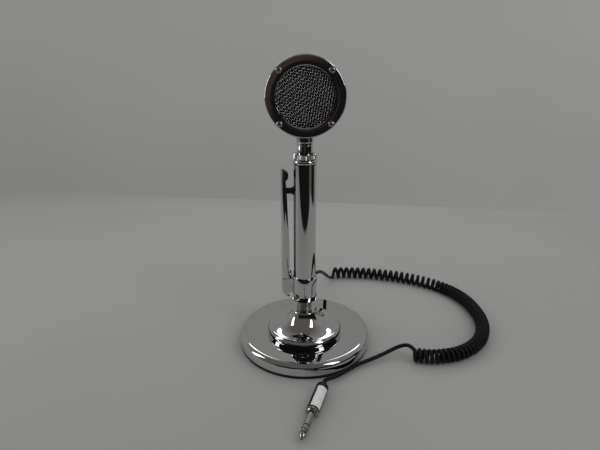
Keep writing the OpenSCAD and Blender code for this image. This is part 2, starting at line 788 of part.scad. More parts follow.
module grip_bar() {
    color([0.78, 0.78, 0.8]) difference() {
        union() {
            difference() {
                intersection() {
                    slab(bar_w) bar_outline();
                    translate([-bar_x, 0, bar_foot - 1]) rounded_bar(bar_w, bar_edge, bar_l);
                }
                translate([-bar_x + bar_t, -bar_w / 2 + bar_t, bar_foot - 1])
                    cube([bar_x, bar_w - 2 * bar_t, bar_top - bar_foot + 1 - bar_end]);
            }
            translate([-bar_x + 2.2, -tongue_w / 2, pivot_z])
                cube([bar_x - 2.2 - pivot_x + 1, tongue_w, bar_foot + 6 - pivot_z]);
            translate([-bar_x + bar_t - 0.1, -bar_w / 2 + bar_t - 0.1, bar_foot])
                cube([bar_x - bar_t - pivot_x + 1.1, bar_w - 2 * bar_t + 0.2, 6]);
            translate([-pivot_x, 0, pivot_z]) rotate([90, 0, 0])
                cylinder(r = tongue_r, h = tongue_w, center = true);
        }
        translate([-pivot_x, 0, pivot_z]) rotate([90, 0, 0])
            cylinder(r = pivot_d / 2 + 0.06, h = bar_w, center = true);
    }
}

module bar_bumper() {
    color([0.04, 0.04, 0.04]) slab(bar_w - 2 * bar_t - 0.1) intersection() {
        union() {
            translate([-bumper_x, bumper_z]) circle(r = bumper_r);
            translate([-bar_x, bumper_z - bumper_r]) square([bar_x - bumper_x, bumper_r * 2]);
        }
        translate([-bar_x + bar_t + seat, 0]) square([bar_x, bar_top - bar_end - seat]);
    }
}

module switch_plunger() {
    color([0.05, 0.05, 0.05]) {
        rod_x(-bar_x + bar_t + gap, plunger_z, plunger_d / 2, bar_x - bar_t - gap - plunger_in - nib_h);
        rod_x(-plunger_in - nib_h - head_disc_t, plunger_z, head_disc_r, head_disc_t);
        rod_x(-plunger_in - nib_h - 0.1, plunger_z, nib_r, nib_h + 0.1);
    }
}

// The clamped end of the moving blade, with its solder tag
module blade_tail() {
    color([0.8, 0.7, 0.42]) difference() {
        translate([-blade_x, -blade_w / 2, blade_foot - stack_h - 4])
            cube([blade_t - 0.01, blade_w, stack_h + 3.6]);
        for (k = stack_holes) rod_x(-tube_r, blade_foot - stack_h * k, stack_screw_r + 0.1, tube_r * 2);
    }
}

module moving_blade() {
    color([0.8, 0.7, 0.42]) {
        translate([-blade_x, -blade_w / 2, blade_foot - 0.3])
            cube([blade_t, blade_w, blade_arm + blade_up + 0.3]);
        rod_x(-blade_x, plunger_z + rivet_up, rivet_r, blade_t + rivet_h);
    }
}

module lock_ring() {
    color([0.7, 0.7, 0.72]) translate([0, 0, lock_z]) difference() {
        union() {
            cylinder(r1 = lock_d / 2 - 0.6, r2 = lock_d / 2 - lock_groove, h = 0.4);
            translate([0, 0, 0.4]) linear_extrude(height = lock_h - 0.8) polygon([
                for (k = [0 : 2 * lock_grooves - 1])
                    (lock_d / 2 - (k % 2) * lock_groove)
                        * [cos(180 * k / lock_grooves), sin(180 * k / lock_grooves)]]);
            translate([0, 0, lock_h - 0.4])
                cylinder(r1 = lock_d / 2 - lock_groove, r2 = lock_d / 2 - 0.7, h = 0.4);
        }
        translate([0, 0, -1]) cylinder(r = thread_r + 0.06, h = thread_up + 1);
        cylinder(r = sleeve_r + 0.09, h = lock_h + 1);
    }
}

module head_neck() {
    color([0.72, 0.72, 0.74]) difference() {
        union() {
            translate([0, 0, neck_z + 0.1]) cylinder(r = sleeve_r, h = flange_z - neck_z);
            translate([0, 0, flange_z]) rotate_extrude() {
                square([flange_r - flange_edge, case_t * 2 + flange_h]);
                translate([0, flange_edge]) square([flange_r, flange_h]);
                intersection() {
                    translate([flange_r - flange_edge, flange_edge]) circle(r = flange_edge);
                    square([flange_r, 2]);
                }
            }
            translate([0, 0, flange_z]) cylinder(r = spigot_r, h = flange_h + spigot_up);
        }
        difference() {
            on_head() cylinder(r = case_r + seat, h = saddle_l, center = true);
            cylinder(r = spigot_r, h = head_z);
        }
        translate([0, 0, neck_z]) cylinder(r = pin_block_r + fit, h = pin_block_h + 1);
        cylinder(d = neck_bore, h = head_z);
        translate([0, 0, flange_z - groove_down]) hoop(sleeve_r + 1, sleeve_r - groove_t, groove_w);
    }
}

module neck_nut() {
    color([0.66, 0.64, 0.56]) translate([0, 0, case_z + case_t + 0.75]) difference() {
        cylinder(r = neck_nut_r, h = neck_nut_h, $fn = 6);
        translate([0, 0, -1]) cylinder(r = spigot_r + fit, h = neck_nut_h + 2);
    }
}

module pin_block() {
    color([0.12, 0.09, 0.07]) difference() {
        translate([0, 0, neck_z + 0.15]) cylinder(r = pin_block_r, h = pin_block_h);
        for (a = pin_turns) rotate([0, 0, a])
            translate([pin_ring, 0, neck_z - 1]) cylinder(r = pin_r + bite, h = 12);
    }
}

module contact_pins() {
    color([0.78, 0.62, 0.3]) for (a = pin_turns) rotate([0, 0, a])
        translate([pin_ring, 0, neck_z - pin_l]) cylinder(r = pin_r, h = pin_l + pin_block_h + 1);
}

module head_wires() {
    color([0.5, 0.12, 0.1]) for (s = [-1, 1])
        translate([s * 1.3, 0, neck_z + pin_block_h + 1.1])
            cylinder(r = 0.55, h = head_z - cart_r - neck_z - pin_block_h - 1.4);
}

// A boss for a face screw with its web to the wall, both larger by o
module screw_boss(o, h) {
    cylinder(r = boss_r + o, h = h);
    translate([0, -web_w / 2 - o, 0]) cube([web_l, web_w + 2 * o, h]);
}

module head_case() {
    color([0.76, 0.76, 0.78]) difference() {
        union() {
            on_head() rotate_extrude($fn = 128) difference() {
                union() {
                    translate([0, -case_back]) square([case_r - case_edge, case_back + case_front]);
                    translate([0, -case_back + case_edge]) square([case_r, case_back + case_front - case_edge]);
                    intersection() {
                        translate([case_r - case_edge, -case_back + case_edge]) circle(r = case_edge);
                        translate([0, -case_back]) square([case_r, case_edge]);
                    }
                }
                translate([0, -case_back + case_edge]) square([case_r - case_t, case_back + case_front]);
                translate([0, -case_back + case_t]) square([case_r - case_edge, case_back + case_front]);
                intersection() {
                    translate([case_r - case_edge, -case_back + case_edge]) circle(r = case_edge - case_t);
                    translate([0, -case_back]) square([case_r, case_edge]);
                }
            }
            on_head() for (a = [45 : 90 : 315]) rotate([0, 0, a])
                translate([screw_pcd / 2, 0, -case_back / 2]) screw_boss(0, case_back / 2 + case_front - 0.1);
        }
        cylinder(r = spigot_r + 0.1, h = case_z + case_t + 3);
        on_head() for (a = [45 : 90 : 315]) rotate([0, 0, a])
            translate([screw_pcd / 2, 0, case_front - 7]) cylinder(r = screw_d / 2 + bite, h = 10);
    }
}

module face_ring() {
    color([0.72, 0.72, 0.74]) on_head() difference() {
        rotate_extrude($fn = 128) difference() {
            union() {
                translate([opening_r, case_front + seat])
                    square([face_r - opening_r - face_edge, face_t - seat]);
                translate([opening_r, case_front + seat])
                    square([face_r - opening_r, face_t - face_edge - seat]);
                intersection() {
                    translate([face_r - face_edge, face_out - face_edge]) circle(r = face_edge);
                    translate([opening_r, face_out - face_edge]) square([face_r, face_edge]);
                }
            }
            translate([0, case_front - 1]) square([rim_out + 0.1, rim_h + 1.2]);
            polygon([[opening_r - 1, face_out - 1.45], [opening_r + 2.6, face_out + 0.1],
                [opening_r - 1, face_out + 1]]);
        }
        for (a = [45 : 90 : 315]) rotate([0, 0, a])
            translate([screw_pcd / 2, 0, 0]) cylinder(r = screw_d / 2 + 0.15, h = face_out + 1);
    }
}

module face_screws() {
    color([0.72, 0.72, 0.74]) on_head() for (a = [45 : 90 : 315]) rotate([0, 0, a])
        translate([screw_pcd / 2, 0, 0]) {
            translate([0, 0, case_front - screw_in]) cylinder(d = screw_d, h = face_t + screw_in + 0.2);
            intersection() {
                translate([0, 0, face_out + seat]) cylinder(d = screw_head_d, h = dome_r);
                translate([0, 0, face_out + seat - dome_down]) sphere(r = dome_r);
            }
        }
}

// Height of the grille's crown at the point (u, v), and of one wire where it passes it
function crown(u, v) = wire_w + grille_bulge * max(0, 1 - (u * u + v * v) / (wire_end * wire_end));
function half_l(u) = sqrt(wire_end * wire_end - (abs(u) + wire_r) * (abs(u) + wire_r));
function knots(u) = let (n = floor((half_l(u) - 0.3) / wire_pitch))
    concat([-half_l(u)], [for (j = [-n : n]) j * wire_pitch], [half_l(u)]);
function weave(i, v, turned) = abs(v - round(v / wire_pitch) * wire_pitch) > 0.001 ? 0
    : ((i + round(v / wire_pitch)) % 2 == 0 ? 1 : -1) * (turned ? -1 : 1) * wire_wave;
function wire_ring(u, v, w, turned) = [for (d = [[1, 0], [0, 1], [-1, 0], [0, -1]])
    turned ? [v, u + d[0] * wire_r, w + d[1] * wire_r] : [u + d[0] * wire_r, v, w - d[1] * wire_r]];

// One wire of the weave, the i-th from the middle
module grille_wire(i, turned) {
    u = i * wire_pitch;
    stops = knots(u);
    polyhedron([for (v = stops) each wire_ring(u, v, crown(u, v) + weave(i, v, turned), turned)],
        skin(len(stops), 4), 4);
}

module woven_grille() {
    count = floor((wire_end - 1.5) / wire_pitch);
    color([0.62, 0.62, 0.64]) on_head() rotate([0, 0, wire_turn])
        for (i = [-count : count]) for (turned = [false, true]) grille_wire(i, turned);
}

module grille_rim() {
    color([0.5, 0.5, 0.52]) on_head() translate([0, 0, rim_back]) hoop(rim_out, rim_in, rim_h);
}

module grille_cloth() {
    color([0.05, 0.05, 0.07]) on_head() translate([0, 0, cloth_w]) cylinder(r = rim_out - 0.3, h = cloth_t);
}

module cartridge_gasket() {
    color([0.08, 0.08, 0.08]) difference() {
        on_head() rotate_extrude() difference() {
            intersection() {
                translate([0, gasket_back]) square([gasket_r, cloth_w - 0.1 - gasket_back]);
                union() {
                    translate([0, -case_back]) square([case_r - case_edge, case_back + cloth_w]);
                    translate([0, -case_back + case_edge]) square([case_r - case_t - 0.1, case_back + cloth_w]);
                    translate([case_r - case_edge, -case_back + case_edge])
                        circle(r = case_edge - case_t - 0.1);
                }
            }
            translate([0, -case_back]) square([cart_r - gasket_lip, case_back + case_front]);
            translate([0, cart_rear - gap]) square([cart_r + 0.1, case_back + case_front]);
        }
        on_head() for (a = [45 : 90 : 315]) rotate([0, 0, a])
            translate([screw_pcd / 2, 0, -case_back]) screw_boss(0.15, case_back + case_front);
        cylinder(r = neck_nut_r + gap, h = flange_z + flange_h + spigot_up + 0.15);
        cylinder(r = 3, h = head_z - cart_r + 1);
    }
}

module cartridge_can() {
    color([0.7, 0.7, 0.7]) on_head() translate([0, 0, cart_rear]) difference() {
        cylinder(r = cart_r, h = cart_h);
        translate([0, 0, cart_t]) cylinder(r = cart_r - cart_t - 1.2, h = cart_h);
        translate([0, 0, cart_h - 1.4]) cylinder(r = cart_r - cart_t, h = cart_h);
    }
}

module cartridge_guard() {
    color([0.66, 0.66, 0.66]) on_head() difference() {
        translate([0, 0, cart_front - 0.9]) cylinder(r = cart_r - cart_t - 0.1, h = 0.8);
        for (a = [0 : 60 : 300]) rotate([0, 0, a]) translate([11, 0, 0]) cylinder(r = 2.6, h = 20);
        cylinder(r = 3, h = 20);
    }
}

module diaphragm() {
    color([0.75, 0.75, 0.75]) on_head() translate([0, 0, diaphragm_w - 0.15])
        cylinder(r = cart_r - cart_t - 0.15, h = 0.2);
}

module crystal_element() {
    color([0.85, 0.83, 0.76]) on_head() translate([0, -crystal_w * sqrt(2) / 2 + 1, cart_rear + cart_t]) {
        translate([0, 0, 1.8]) rotate([0, 0, 45])
            translate([-crystal_w / 2, -crystal_w / 2, 0]) cube([crystal_w, crystal_w, crystal_t]);
        for (a = [180, 270, 360]) rotate([0, 0, a]) translate([crystal_w * sqrt(2) / 2 - 2, 0, 0.02])
            cylinder(r = 1.3, h = 1.9);
    }
}

module drive_pin() {
    color([0.78, 0.62, 0.3]) on_head() translate([0, 0, cart_rear + cart_t + 1.8 + crystal_t + 0.02])
        cylinder(r = 0.5, h = diaphragm_w - 0.2 - cart_rear - cart_t - 1.8 - crystal_t);
}

base_pad();
base_shell();
base_weight();
base_stud();
base_nut();
stem_collar();
collar_set_screws();
stem_tube();
tube_cap();
head_socket();
socket_contacts();
bar_pivot_pin();
return_spring();
plunger_bush();
switch_bracket();
bracket_screw();
switch_insulators();
fixed_blade();
blade_tail();
switch_screws();
stem_wires();
cord_grommet();
cord_crimp();
cord_lead();
cord_coil();
cord_tail();
plug_boot();
plug_handle();
plug_flange();
plug_sleeve();
plug_insulators();
plug_ring();
plug_tip();
grip_bar();
bar_bumper();
switch_plunger();
moving_blade();
lock_ring();
head_neck();
neck_nut();
pin_block();
contact_pins();
head_wires();
head_case();
face_ring();
face_screws();
woven_grille();
grille_rim();
grille_cloth();
cartridge_gasket();
cartridge_can();
cartridge_guard();
diaphragm();
crystal_element();
drive_pin();
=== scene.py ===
import logging
import math
from dataclasses import dataclass, field
from enum import Enum
from functools import cache
from typing import Callable, Sequence

import bmesh
import bpy
from mathutils import Matrix, Vector


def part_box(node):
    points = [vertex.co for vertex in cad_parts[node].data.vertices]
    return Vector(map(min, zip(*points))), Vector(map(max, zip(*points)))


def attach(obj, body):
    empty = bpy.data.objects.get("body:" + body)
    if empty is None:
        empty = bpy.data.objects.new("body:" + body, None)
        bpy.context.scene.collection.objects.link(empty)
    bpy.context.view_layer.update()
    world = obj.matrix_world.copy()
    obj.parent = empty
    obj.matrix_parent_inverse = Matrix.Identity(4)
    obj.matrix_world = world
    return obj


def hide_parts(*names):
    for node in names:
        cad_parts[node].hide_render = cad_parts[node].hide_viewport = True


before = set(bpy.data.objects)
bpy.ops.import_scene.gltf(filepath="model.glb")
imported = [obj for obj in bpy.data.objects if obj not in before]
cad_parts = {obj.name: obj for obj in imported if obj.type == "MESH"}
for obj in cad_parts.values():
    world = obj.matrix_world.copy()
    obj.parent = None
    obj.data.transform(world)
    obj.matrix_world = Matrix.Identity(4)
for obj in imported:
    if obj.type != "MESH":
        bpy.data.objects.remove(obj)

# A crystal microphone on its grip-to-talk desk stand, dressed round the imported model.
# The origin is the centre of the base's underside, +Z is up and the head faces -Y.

MM = 0.001
UP = Vector((0.0, 0.0, 1.0))
FORWARD = Vector((0.0, -1.0, 0.0))
RIGHT = Vector((1.0, 0.0, 0.0))
FULL_TURN = 2.0 * math.pi
WELD = 2e-6
FALLING = (1.0, 0.0)

# What several assemblies share: the grip's outer face and width, the pin that it turns on, the plunger's
# height, and where the cord leaves the collar. In millimetres, and degrees from +X.
GRIP_X = -23.4
GRIP_WIDTH = 10.4
PIVOT = (-17.7, 68.5)
PLUNGER_Z = 167.9
EXIT_TURN = 67.0
EXIT_Z = 65.5

log = logging.getLogger("microphone")

Pair = tuple[float, float]
Triple = tuple[float, float, float]
Piece = bpy.types.Object
Material = bpy.types.Material
Node = bpy.types.Node
Socket = bpy.types.NodeSocket
Sockets = bpy.types.bpy_prop_collection
Tree = bpy.types.NodeTree
Test = Callable[[Vector], bool]


class Body(Enum):
    """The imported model's bodies that new pieces ride on."""

    STAND = "stand"
    GRIP = "grip_bar"
    PLUNGER = "plunger"
    LOCK = "lock_ring"
    HEAD = "head"


class Cut(Enum):
    """What a tool solid does to a piece."""

    AWAY = "DIFFERENCE"
    JOINED = "UNION"
    COMMON = "INTERSECT"


class Part(Enum):
    """What is picked on a mesh in edit mode."""

    POINTS = "VERT"
    EDGES = "EDGE"


def mm(*values: float) -> Vector:
    """A point in metres from its coordinates in millimetres."""
    return Vector(values) * MM


def heading(degrees: float) -> Vector:
    """The level direction at an angle from +X towards +Y."""
    return Vector((math.cos(math.radians(degrees)), math.sin(math.radians(degrees)), 0.0))


def arc(centre: Pair, radius: float, start: float, end: float, steps: int) -> list[Pair]:
    """Points along an arc.

    Args:
        centre: The centre of the arc.
        radius: Its radius.
        start: The angle of the first point, in degrees.
        end: The angle of the last point, in degrees.
        steps: How many stretches the arc is cut into.

    Returns:
        One more point than there are steps.
    """
    angles = [math.radians(start + (end - start) * i / steps) for i in range(steps + 1)]
    return [(centre[0] + radius * math.cos(a), centre[1] + radius * math.sin(a)) for a in angles]


def smooth_line(points: Sequence[Vector], parts: int) -> list[Vector]:
    """A smooth curve through all the given points.

    Args:
        points: The points that it passes, in order.
        parts: How many stretches it gets between two of them.

    Returns:
        The curve's own points, the given ones among them.
    """
    line = []
    for i in range(len(points) - 1):
        a, b, c = points[max(i - 1, 0)], points[i], points[i + 1]
        d = points[min(i + 2, len(points) - 1)]
        for j in range(parts):
            t = j / parts
            line.append(0.5 * (2 * b + (c - a) * t + (2 * a - 5 * b + 4 * c - d) * t * t
                               + (3 * b - a - 3 * c + d) * t ** 3))
    return line + [points[-1]]


def added(name: str, data: bpy.types.ID) -> Piece:
    """A new object with the given data, in the scene."""
    made = bpy.data.objects.new(name, data)
    bpy.context.scene.collection.objects.link(made)
    return made


def line_length(points: Sequence[Vector]) -> float:
    """The length of a line through the given points."""
    return sum((b - a).length for a, b in zip(points, points[1:]))


class Bench:
    """The workbench: every operator that shapes a mesh is called here."""

    @staticmethod
    def clear() -> None:
        """Leaves edit mode and deselects everything."""
        active = bpy.context.view_layer.objects.active
        if active and active.mode != "OBJECT":
            bpy.ops.object.mode_set(mode="OBJECT")
        bpy.ops.object.select_all(action="DESELECT")

    @staticmethod
    def take(*pieces: Piece) -> None:
        """Selects only these pieces, the first as the active one."""
        Bench.clear()
        for piece in pieces:
            piece.select_set(True)
        bpy.context.view_layer.objects.active = pieces[0]

    @staticmethod
    def named(name: str) -> Piece:
        """Names the object that was just added, and sets its place into its mesh."""
        piece = bpy.context.view_layer.objects.active
        piece.name = name
        piece.data.name = name
        bpy.ops.object.transform_apply(location=True, rotation=True, scale=True)
        return piece

    @staticmethod
    def weld() -> None:
        """Merges doubled points in edit mode, and leaves everything selected."""
        bpy.ops.mesh.select_all(action="SELECT")
        bpy.ops.mesh.remove_doubles(threshold=WELD)
        bpy.ops.mesh.select_all(action="SELECT")

    @staticmethod
    def close() -> None:
        """Merges doubled points, turns the faces outwards and leaves edit mode."""
        Bench.weld()
        bpy.ops.mesh.normals_make_consistent(inside=False)
        Bench.clear()

    @staticmethod
    def pencil(name: str, points: Sequence[Vector]) -> Piece:
        """Draws a line of edges by pulling one point from place to place, and stays in edit mode.

        Args:
            name: The new object's name.
            points: The line's points, in metres. A closed line ends on its first point.

        Returns:
            The object that holds the line.
        """
        Bench.clear()
        bpy.ops.mesh.primitive_plane_add(size=MM, location=points[0])
        piece = Bench.named(name)
        bpy.ops.object.mode_set(mode="EDIT")
        bpy.ops.mesh.select_mode(type=Part.POINTS.value)
        bpy.ops.mesh.select_all(action="SELECT")
        bpy.ops.mesh.merge(type="CENTER")
        for start, end in zip(points, points[1:]):
            bpy.ops.mesh.extrude_vertices_move(TRANSFORM_OT_translate={"value": end - start})
        return piece

    @staticmethod
    def turned(name: str, outline: Sequence[Pair], origin: Vector, axis: Vector, steps: int) -> Piece:
        """Turns a half section about an axis, as on a lathe.

        Args:
            name: The new piece's name.
            outline: Points as (radius, height along the axis), in millimetres.
            origin: The point on the axis at height nought, in metres.
            axis: The axis, of length one.
            steps: How many facets go round.

        Returns:
            The closed piece.
        """
        across = axis.orthogonal().normalized()
        points = [origin + across * (r * MM) + axis * (h * MM) for r, h in outline]
        piece = Bench.pencil(name, points)
        Bench.weld()
        bpy.ops.mesh.spin(steps=steps, angle=FULL_TURN, center=origin, axis=axis, use_auto_merge=True)
        Bench.close()
        return piece

    @staticmethod
    def filled(name: str, corners: Sequence[Vector]) -> Piece:
        """A flat face between the given corners, which stays in edit mode."""
        piece = Bench.pencil(name, [*corners, corners[0]])
        Bench.weld()
        bpy.ops.mesh.edge_face_add()
        return piece

    @staticmethod
    def pulled(name: str, corners: Sequence[Vector], move: Vector) -> Piece:
        """A solid that a flat face leaves behind as it is pulled along, all in metres."""
        piece = Bench.filled(name, corners)
        bpy.ops.mesh.extrude_region_move(TRANSFORM_OT_translate={"value": move})
        Bench.close()
        return piece

    @staticmethod
    def prism(name: str, outline: Sequence[Pair], width: float) -> Piece:
        """A solid with the same outline all along Y, centred on the stem.

        Args:
            name: The new piece's name.
            outline: Points as (x, z), in millimetres.
            width: Its width along Y, in millimetres.

        Returns:
            The closed piece.
        """
        return Bench.pulled(name, [mm(x, -width / 2, z) for x, z in outline], mm(0, width, 0))

    @staticmethod
    def block(name: str, low: Triple, high: Triple) -> Piece:
        """A plain block between two corners, in millimetres, which serves as a cutting tool."""
        a, b = mm(*low), mm(*high)
        Bench.clear()
        bpy.ops.mesh.primitive_cube_add(size=1.0, location=(a + b) / 2, scale=b - a)
        return Bench.named(name)

    @staticmethod
    def cut(piece: Piece, tool: Piece, how: Cut) -> Piece:
        """Works a tool solid into a piece and throws the tool away."""
        step = piece.modifiers.new("cut", "BOOLEAN")
        step.solver = "EXACT"
        step.operation = how.value
        step.object = tool
        Bench.take(piece)
        bpy.ops.object.modifier_apply(modifier=step.name)
        bpy.data.objects.remove(tool)
        return piece

    @staticmethod
    def drill(piece: Piece, start: Vector, axis: Vector, radius: float, length: float, steps: int = 48) -> Piece:
        """Cuts a straight hole or slot into a piece.

        Args:
            piece: The piece.
            start: The centre of the hole's first end, in metres.
            axis: Its direction, of length one.
            radius: Its radius, in millimetres.
            length: Its length, in millimetres.
            steps: How many facets go round. Four make a square slot.

        Returns:
            The same piece.
        """
        Bench.clear()
        bpy.ops.mesh.primitive_cylinder_add(
            vertices=steps, radius=radius * MM, depth=length * MM, location=start + axis * (length * MM / 2),
            rotation=axis.to_track_quat("Z", "Y").to_euler())
        return Bench.cut(piece, Bench.named("drill"), Cut.AWAY)

    @staticmethod
    def soften(piece: Piece, width: float, segments: int = 2, angle: float = 40.0) -> Piece:
        """Rounds every edge that is sharper than an angle.

        Args:
            piece: The piece to soften.
            width: The width of the rounding, in millimetres.
            segments: How many facets the rounding has.
            angle: The least angle that counts as an edge, in degrees.

        Returns:
            The same piece.
        """
        step = piece.modifiers.new("soften", "BEVEL")
        step.width = width * MM
        step.segments = segments
        step.limit_method = "ANGLE"
        step.angle_limit = math.radians(angle)
        step.use_clamp_overlap = True
        Bench.take(piece)
        bpy.ops.object.modifier_apply(modifier=step.name)
        return piece

    @staticmethod
    def pick(piece: Piece, what: Part, test: Test) -> None:
        """Selects, in edit mode, the points or edges that lie where a test says.

        Args:
            piece: The piece, which is in edit mode.
            what: Whether points or edges are picked.
            test: Says whether a place counts, in metres.
        """
        bpy.ops.mesh.select_mode(type=what.value)
        bpy.ops.mesh.select_all(action="DESELECT")
        mesh = bmesh.from_edit_mesh(piece.data)
        if what is Part.POINTS:
            for vert in mesh.verts:
                vert.select_set(test(vert.co))
        else:
            for edge in mesh.edges:
                edge.select_set(all(test(vert.co) for vert in edge.verts))
        bmesh.update_edit_mesh(piece.data)

    @staticmethod
    def open(piece: Piece) -> None:
        """Takes a piece into edit mode with all of it selected."""
        Bench.take(piece)
        bpy.ops.object.mode_set(mode="EDIT")
        bpy.ops.mesh.select_all(action="SELECT")

    @staticmethod
    def copied(piece: Piece, name: str, placed: Matrix) -> Piece:
        """A copy with a mesh of its own, moved or turned by a matrix."""
        twin = piece.copy()
        twin.data = piece.data.copy()
        twin.name = name
        twin.data.name = name
        twin.data.transform(placed)
        bpy.context.scene.collection.objects.link(twin)
        return twin

    @staticmethod
    def joined(pieces: Sequence[Piece]) -> Piece:
        """Joins several pieces into the first one."""
        Bench.take(*pieces)
        bpy.ops.object.join()
        return pieces[0]

    @staticmethod
    def smooth(piece: Piece, angle: float) -> None:
        """Shades a piece smoothly, with edges where it bends by more than an angle in degrees."""
        Bench.take(piece)
        bpy.ops.object.shade_smooth_by_angle(angle=math.radians(angle))


class Wiring:
    """A node tree while it is wired up."""

    def __init__(self, tree: Tree) -> None:
        """Keeps the tree."""
        self.tree = tree

    @classmethod
    def afresh(cls, owner: bpy.types.ID) -> "Wiring":
        """Empties the node tree of a material or a world, and starts to wire it."""
        owner.use_nodes = True
        owner.node_tree.nodes.clear()
        return cls(owner.node_tree)

    def put(self, kind: str, sockets: dict | None = None, **settings: object) -> Node:
        """Adds a node.

        Args:
            kind: The node's type.
            sockets: Values or output sockets for its inputs, by name or number.
            settings: Its own settings.

        Returns:
            The new node.
        """
        node = self.tree.nodes.new(kind)
        for name, value in settings.items():
            setattr(node, name, value)
        for name, value in (sockets or {}).items():
            if isinstance(value, Socket):
                self.tree.links.new(value, node.inputs[name])
            else:
                node.inputs[name].default_value = value
        return node

    def place(self) -> Socket:
        """The object coordinates of what is shaded."""
        return self.put("ShaderNodeTexCoord").outputs["Object"]

    def axes(self, vector: object) -> Sockets:
        """A vector's X, Y and Z."""
        return self.put("ShaderNodeSeparateXYZ", {0: vector}).outputs

    def sum(self, operation: str, a: object, b: object) -> Socket:
        """The result of one arithmetic step."""
        return self.put("ShaderNodeMath", {0: a, 1: b}, operation=operation).outputs[0]

    def times(self, a: object, b: object) -> Socket:
        """Two values multiplied."""
        return self.sum("MULTIPLY", a, b)

    def link(self, source: Socket, target: Socket) -> None:
        """Wires an output to an input."""
        self.tree.links.new(source, target)

    def span(self, value: object, low: float, high: float, out: tuple = (0.0, 1.0)) -> Socket:
        """A value spread from one range over another, and held at its ends."""
        node = self.put("ShaderNodeMapRange", {"Value": value, "From Min": low, "From Max": high,
                                               "To Min": out[0], "To Max": out[1]})
        return node.outputs["Result"]

    def mix(self, share: object, a: object, b: object, blend: str = "MIX") -> Socket:
        """A colour between two colours, or the second blended into the first."""
        return self.put("ShaderNodeMix", {0: share, 6: a, 7: b}, data_type="RGBA", blend_type=blend).outputs[2]

    def noise(self, vector: object, scale: object, detail: float = 4.0) -> Socket:
        """Soft noise at a place."""
        node = self.put("ShaderNodeTexNoise", {"Vector": vector, "Scale": scale, "Detail": detail})
        return node.outputs["Fac"]

    def effect(self, group: Tree, values: dict) -> Node:
        """Places a shared effect, with values or output sockets for its inputs."""
        return self.put("ShaderNodeGroup", values, node_tree=group)


class Effects:
    """The effects that several finishes share, each a node group that is built once."""

    @staticmethod
    def group(name: str, inputs: dict, outputs: dict) -> tuple[Wiring, Sockets, Sockets]:
        """Starts a shader node group.

        Args:
            name: The group's name.
            inputs: The kind of each input socket, by name.
            outputs: The kind of each output socket, by name.

        Returns:
            Its wiring, the sockets of what it is given and those of what it makes.
        """
        tree = bpy.data.node_groups.new(name, "ShaderNodeTree")
        for way, sockets in (("INPUT", inputs), ("OUTPUT", outputs)):
            for label, kind in sockets.items():
                tree.interface.new_socket(name=label, in_out=way, socket_type="NodeSocket" + kind)
        wiring = Wiring(tree)
        return wiring, wiring.put("NodeGroupInput").outputs, wiring.put("NodeGroupOutput").inputs

    @staticmethod
    @cache
    def handling() -> Tree:
        """Smudges and hairline scratches: roughness between a least and a most value."""
        w, given, made = Effects.group(
            "handling", {"Vector": "Vector", "Size": "Float", "Least": "Float", "Most": "Float"},
            {"Roughness": "Float"})
        cloud = w.span(w.noise(given["Vector"], given["Size"]), 0.42, 0.72)
        fine = w.put("ShaderNodeMapping", {"Vector": given["Vector"], "Scale": (1.0, 1.0, 14.0),
                                           "Rotation": (0.5, 0.9, 0.3)})
        hairs = w.span(w.noise(fine.outputs[0], w.times(given["Size"], 9.0), 2.0), 0.62, 0.74)
        share = w.sum("MAXIMUM", cloud, w.times(hairs, 0.6))
        reach = w.sum("SUBTRACT", given["Most"], given["Least"])
        w.link(w.sum("ADD", given["Least"], w.times(share, reach)), made["Roughness"])
        return w.tree

    @staticmethod
    @cache
    def tarnish() -> Tree:
        """A bright colour that turns dull in patches and small spots."""
        w, given, made = Effects.group(
            "tarnish",
            {"Vector": "Vector", "Size": "Float", "Bright": "Color", "Dull": "Color", "Amount": "Float"},
            {"Color": "Color"})
        cloud = w.span(w.noise(given["Vector"], given["Size"], 6.0), 0.45, 0.75)
        spots = w.span(w.noise(given["Vector"], w.times(given["Size"], 7.0), 1.0), 0.7, 0.76)
        mask = w.times(w.sum("MAXIMUM", cloud, spots), given["Amount"])
        w.link(w.mix(mask, given["Bright"], given["Dull"]), made["Color"])
        return w.tree

    @staticmethod
    @cache
    def grain() -> Tree:
        """The fine unevenness of a surface, as a height."""
        w, given, made = Effects.group(
            "grain", {"Vector": "Vector", "Size": "Float", "Depth": "Float"}, {"Height": "Float"})
        rough = w.noise(given["Vector"], given["Size"], 8.0)
        soft = w.noise(given["Vector"], w.times(given["Size"], 0.12), 2.0)
        w.link(w.times(w.sum("ADD", rough, w.times(soft, 0.8)), given["Depth"]), made["Height"])
        return w.tree

    @staticmethod
    @cache
    def dust() -> Tree:
        """Dust that settles on what faces up, as a mask."""
        w, given, made = Effects.group(
            "dust", {"Vector": "Vector", "Size": "Float", "Amount": "Float"}, {"Mask": "Float"})
        facing = w.span(w.axes(w.put("ShaderNodeNewGeometry").outputs["Normal"])["Z"], 0.1, 0.95)
        flecks = w.span(w.noise(given["Vector"], given["Size"], 9.0), 0.48, 0.68)
        w.link(w.times(w.times(facing, flecks), given["Amount"]), made["Mask"])
        return w.tree

    @staticmethod
    @cache
    def weave() -> Tree:
        """Threads that cross at right angles, as a height."""
        w, given, made = Effects.group("weave", {"Vector": "Vector", "Threads": "Float"}, {"Height": "Float"})
        place = w.axes(given["Vector"])
        turn = w.times(given["Threads"], FULL_TURN)
        warp = w.sum("SINE", w.times(place["X"], turn), 0.0)
        weft = w.sum("SINE", w.times(place["Z"], turn), 0.0)
        w.link(w.times(warp, weft), made["Height"])
        return w.tree


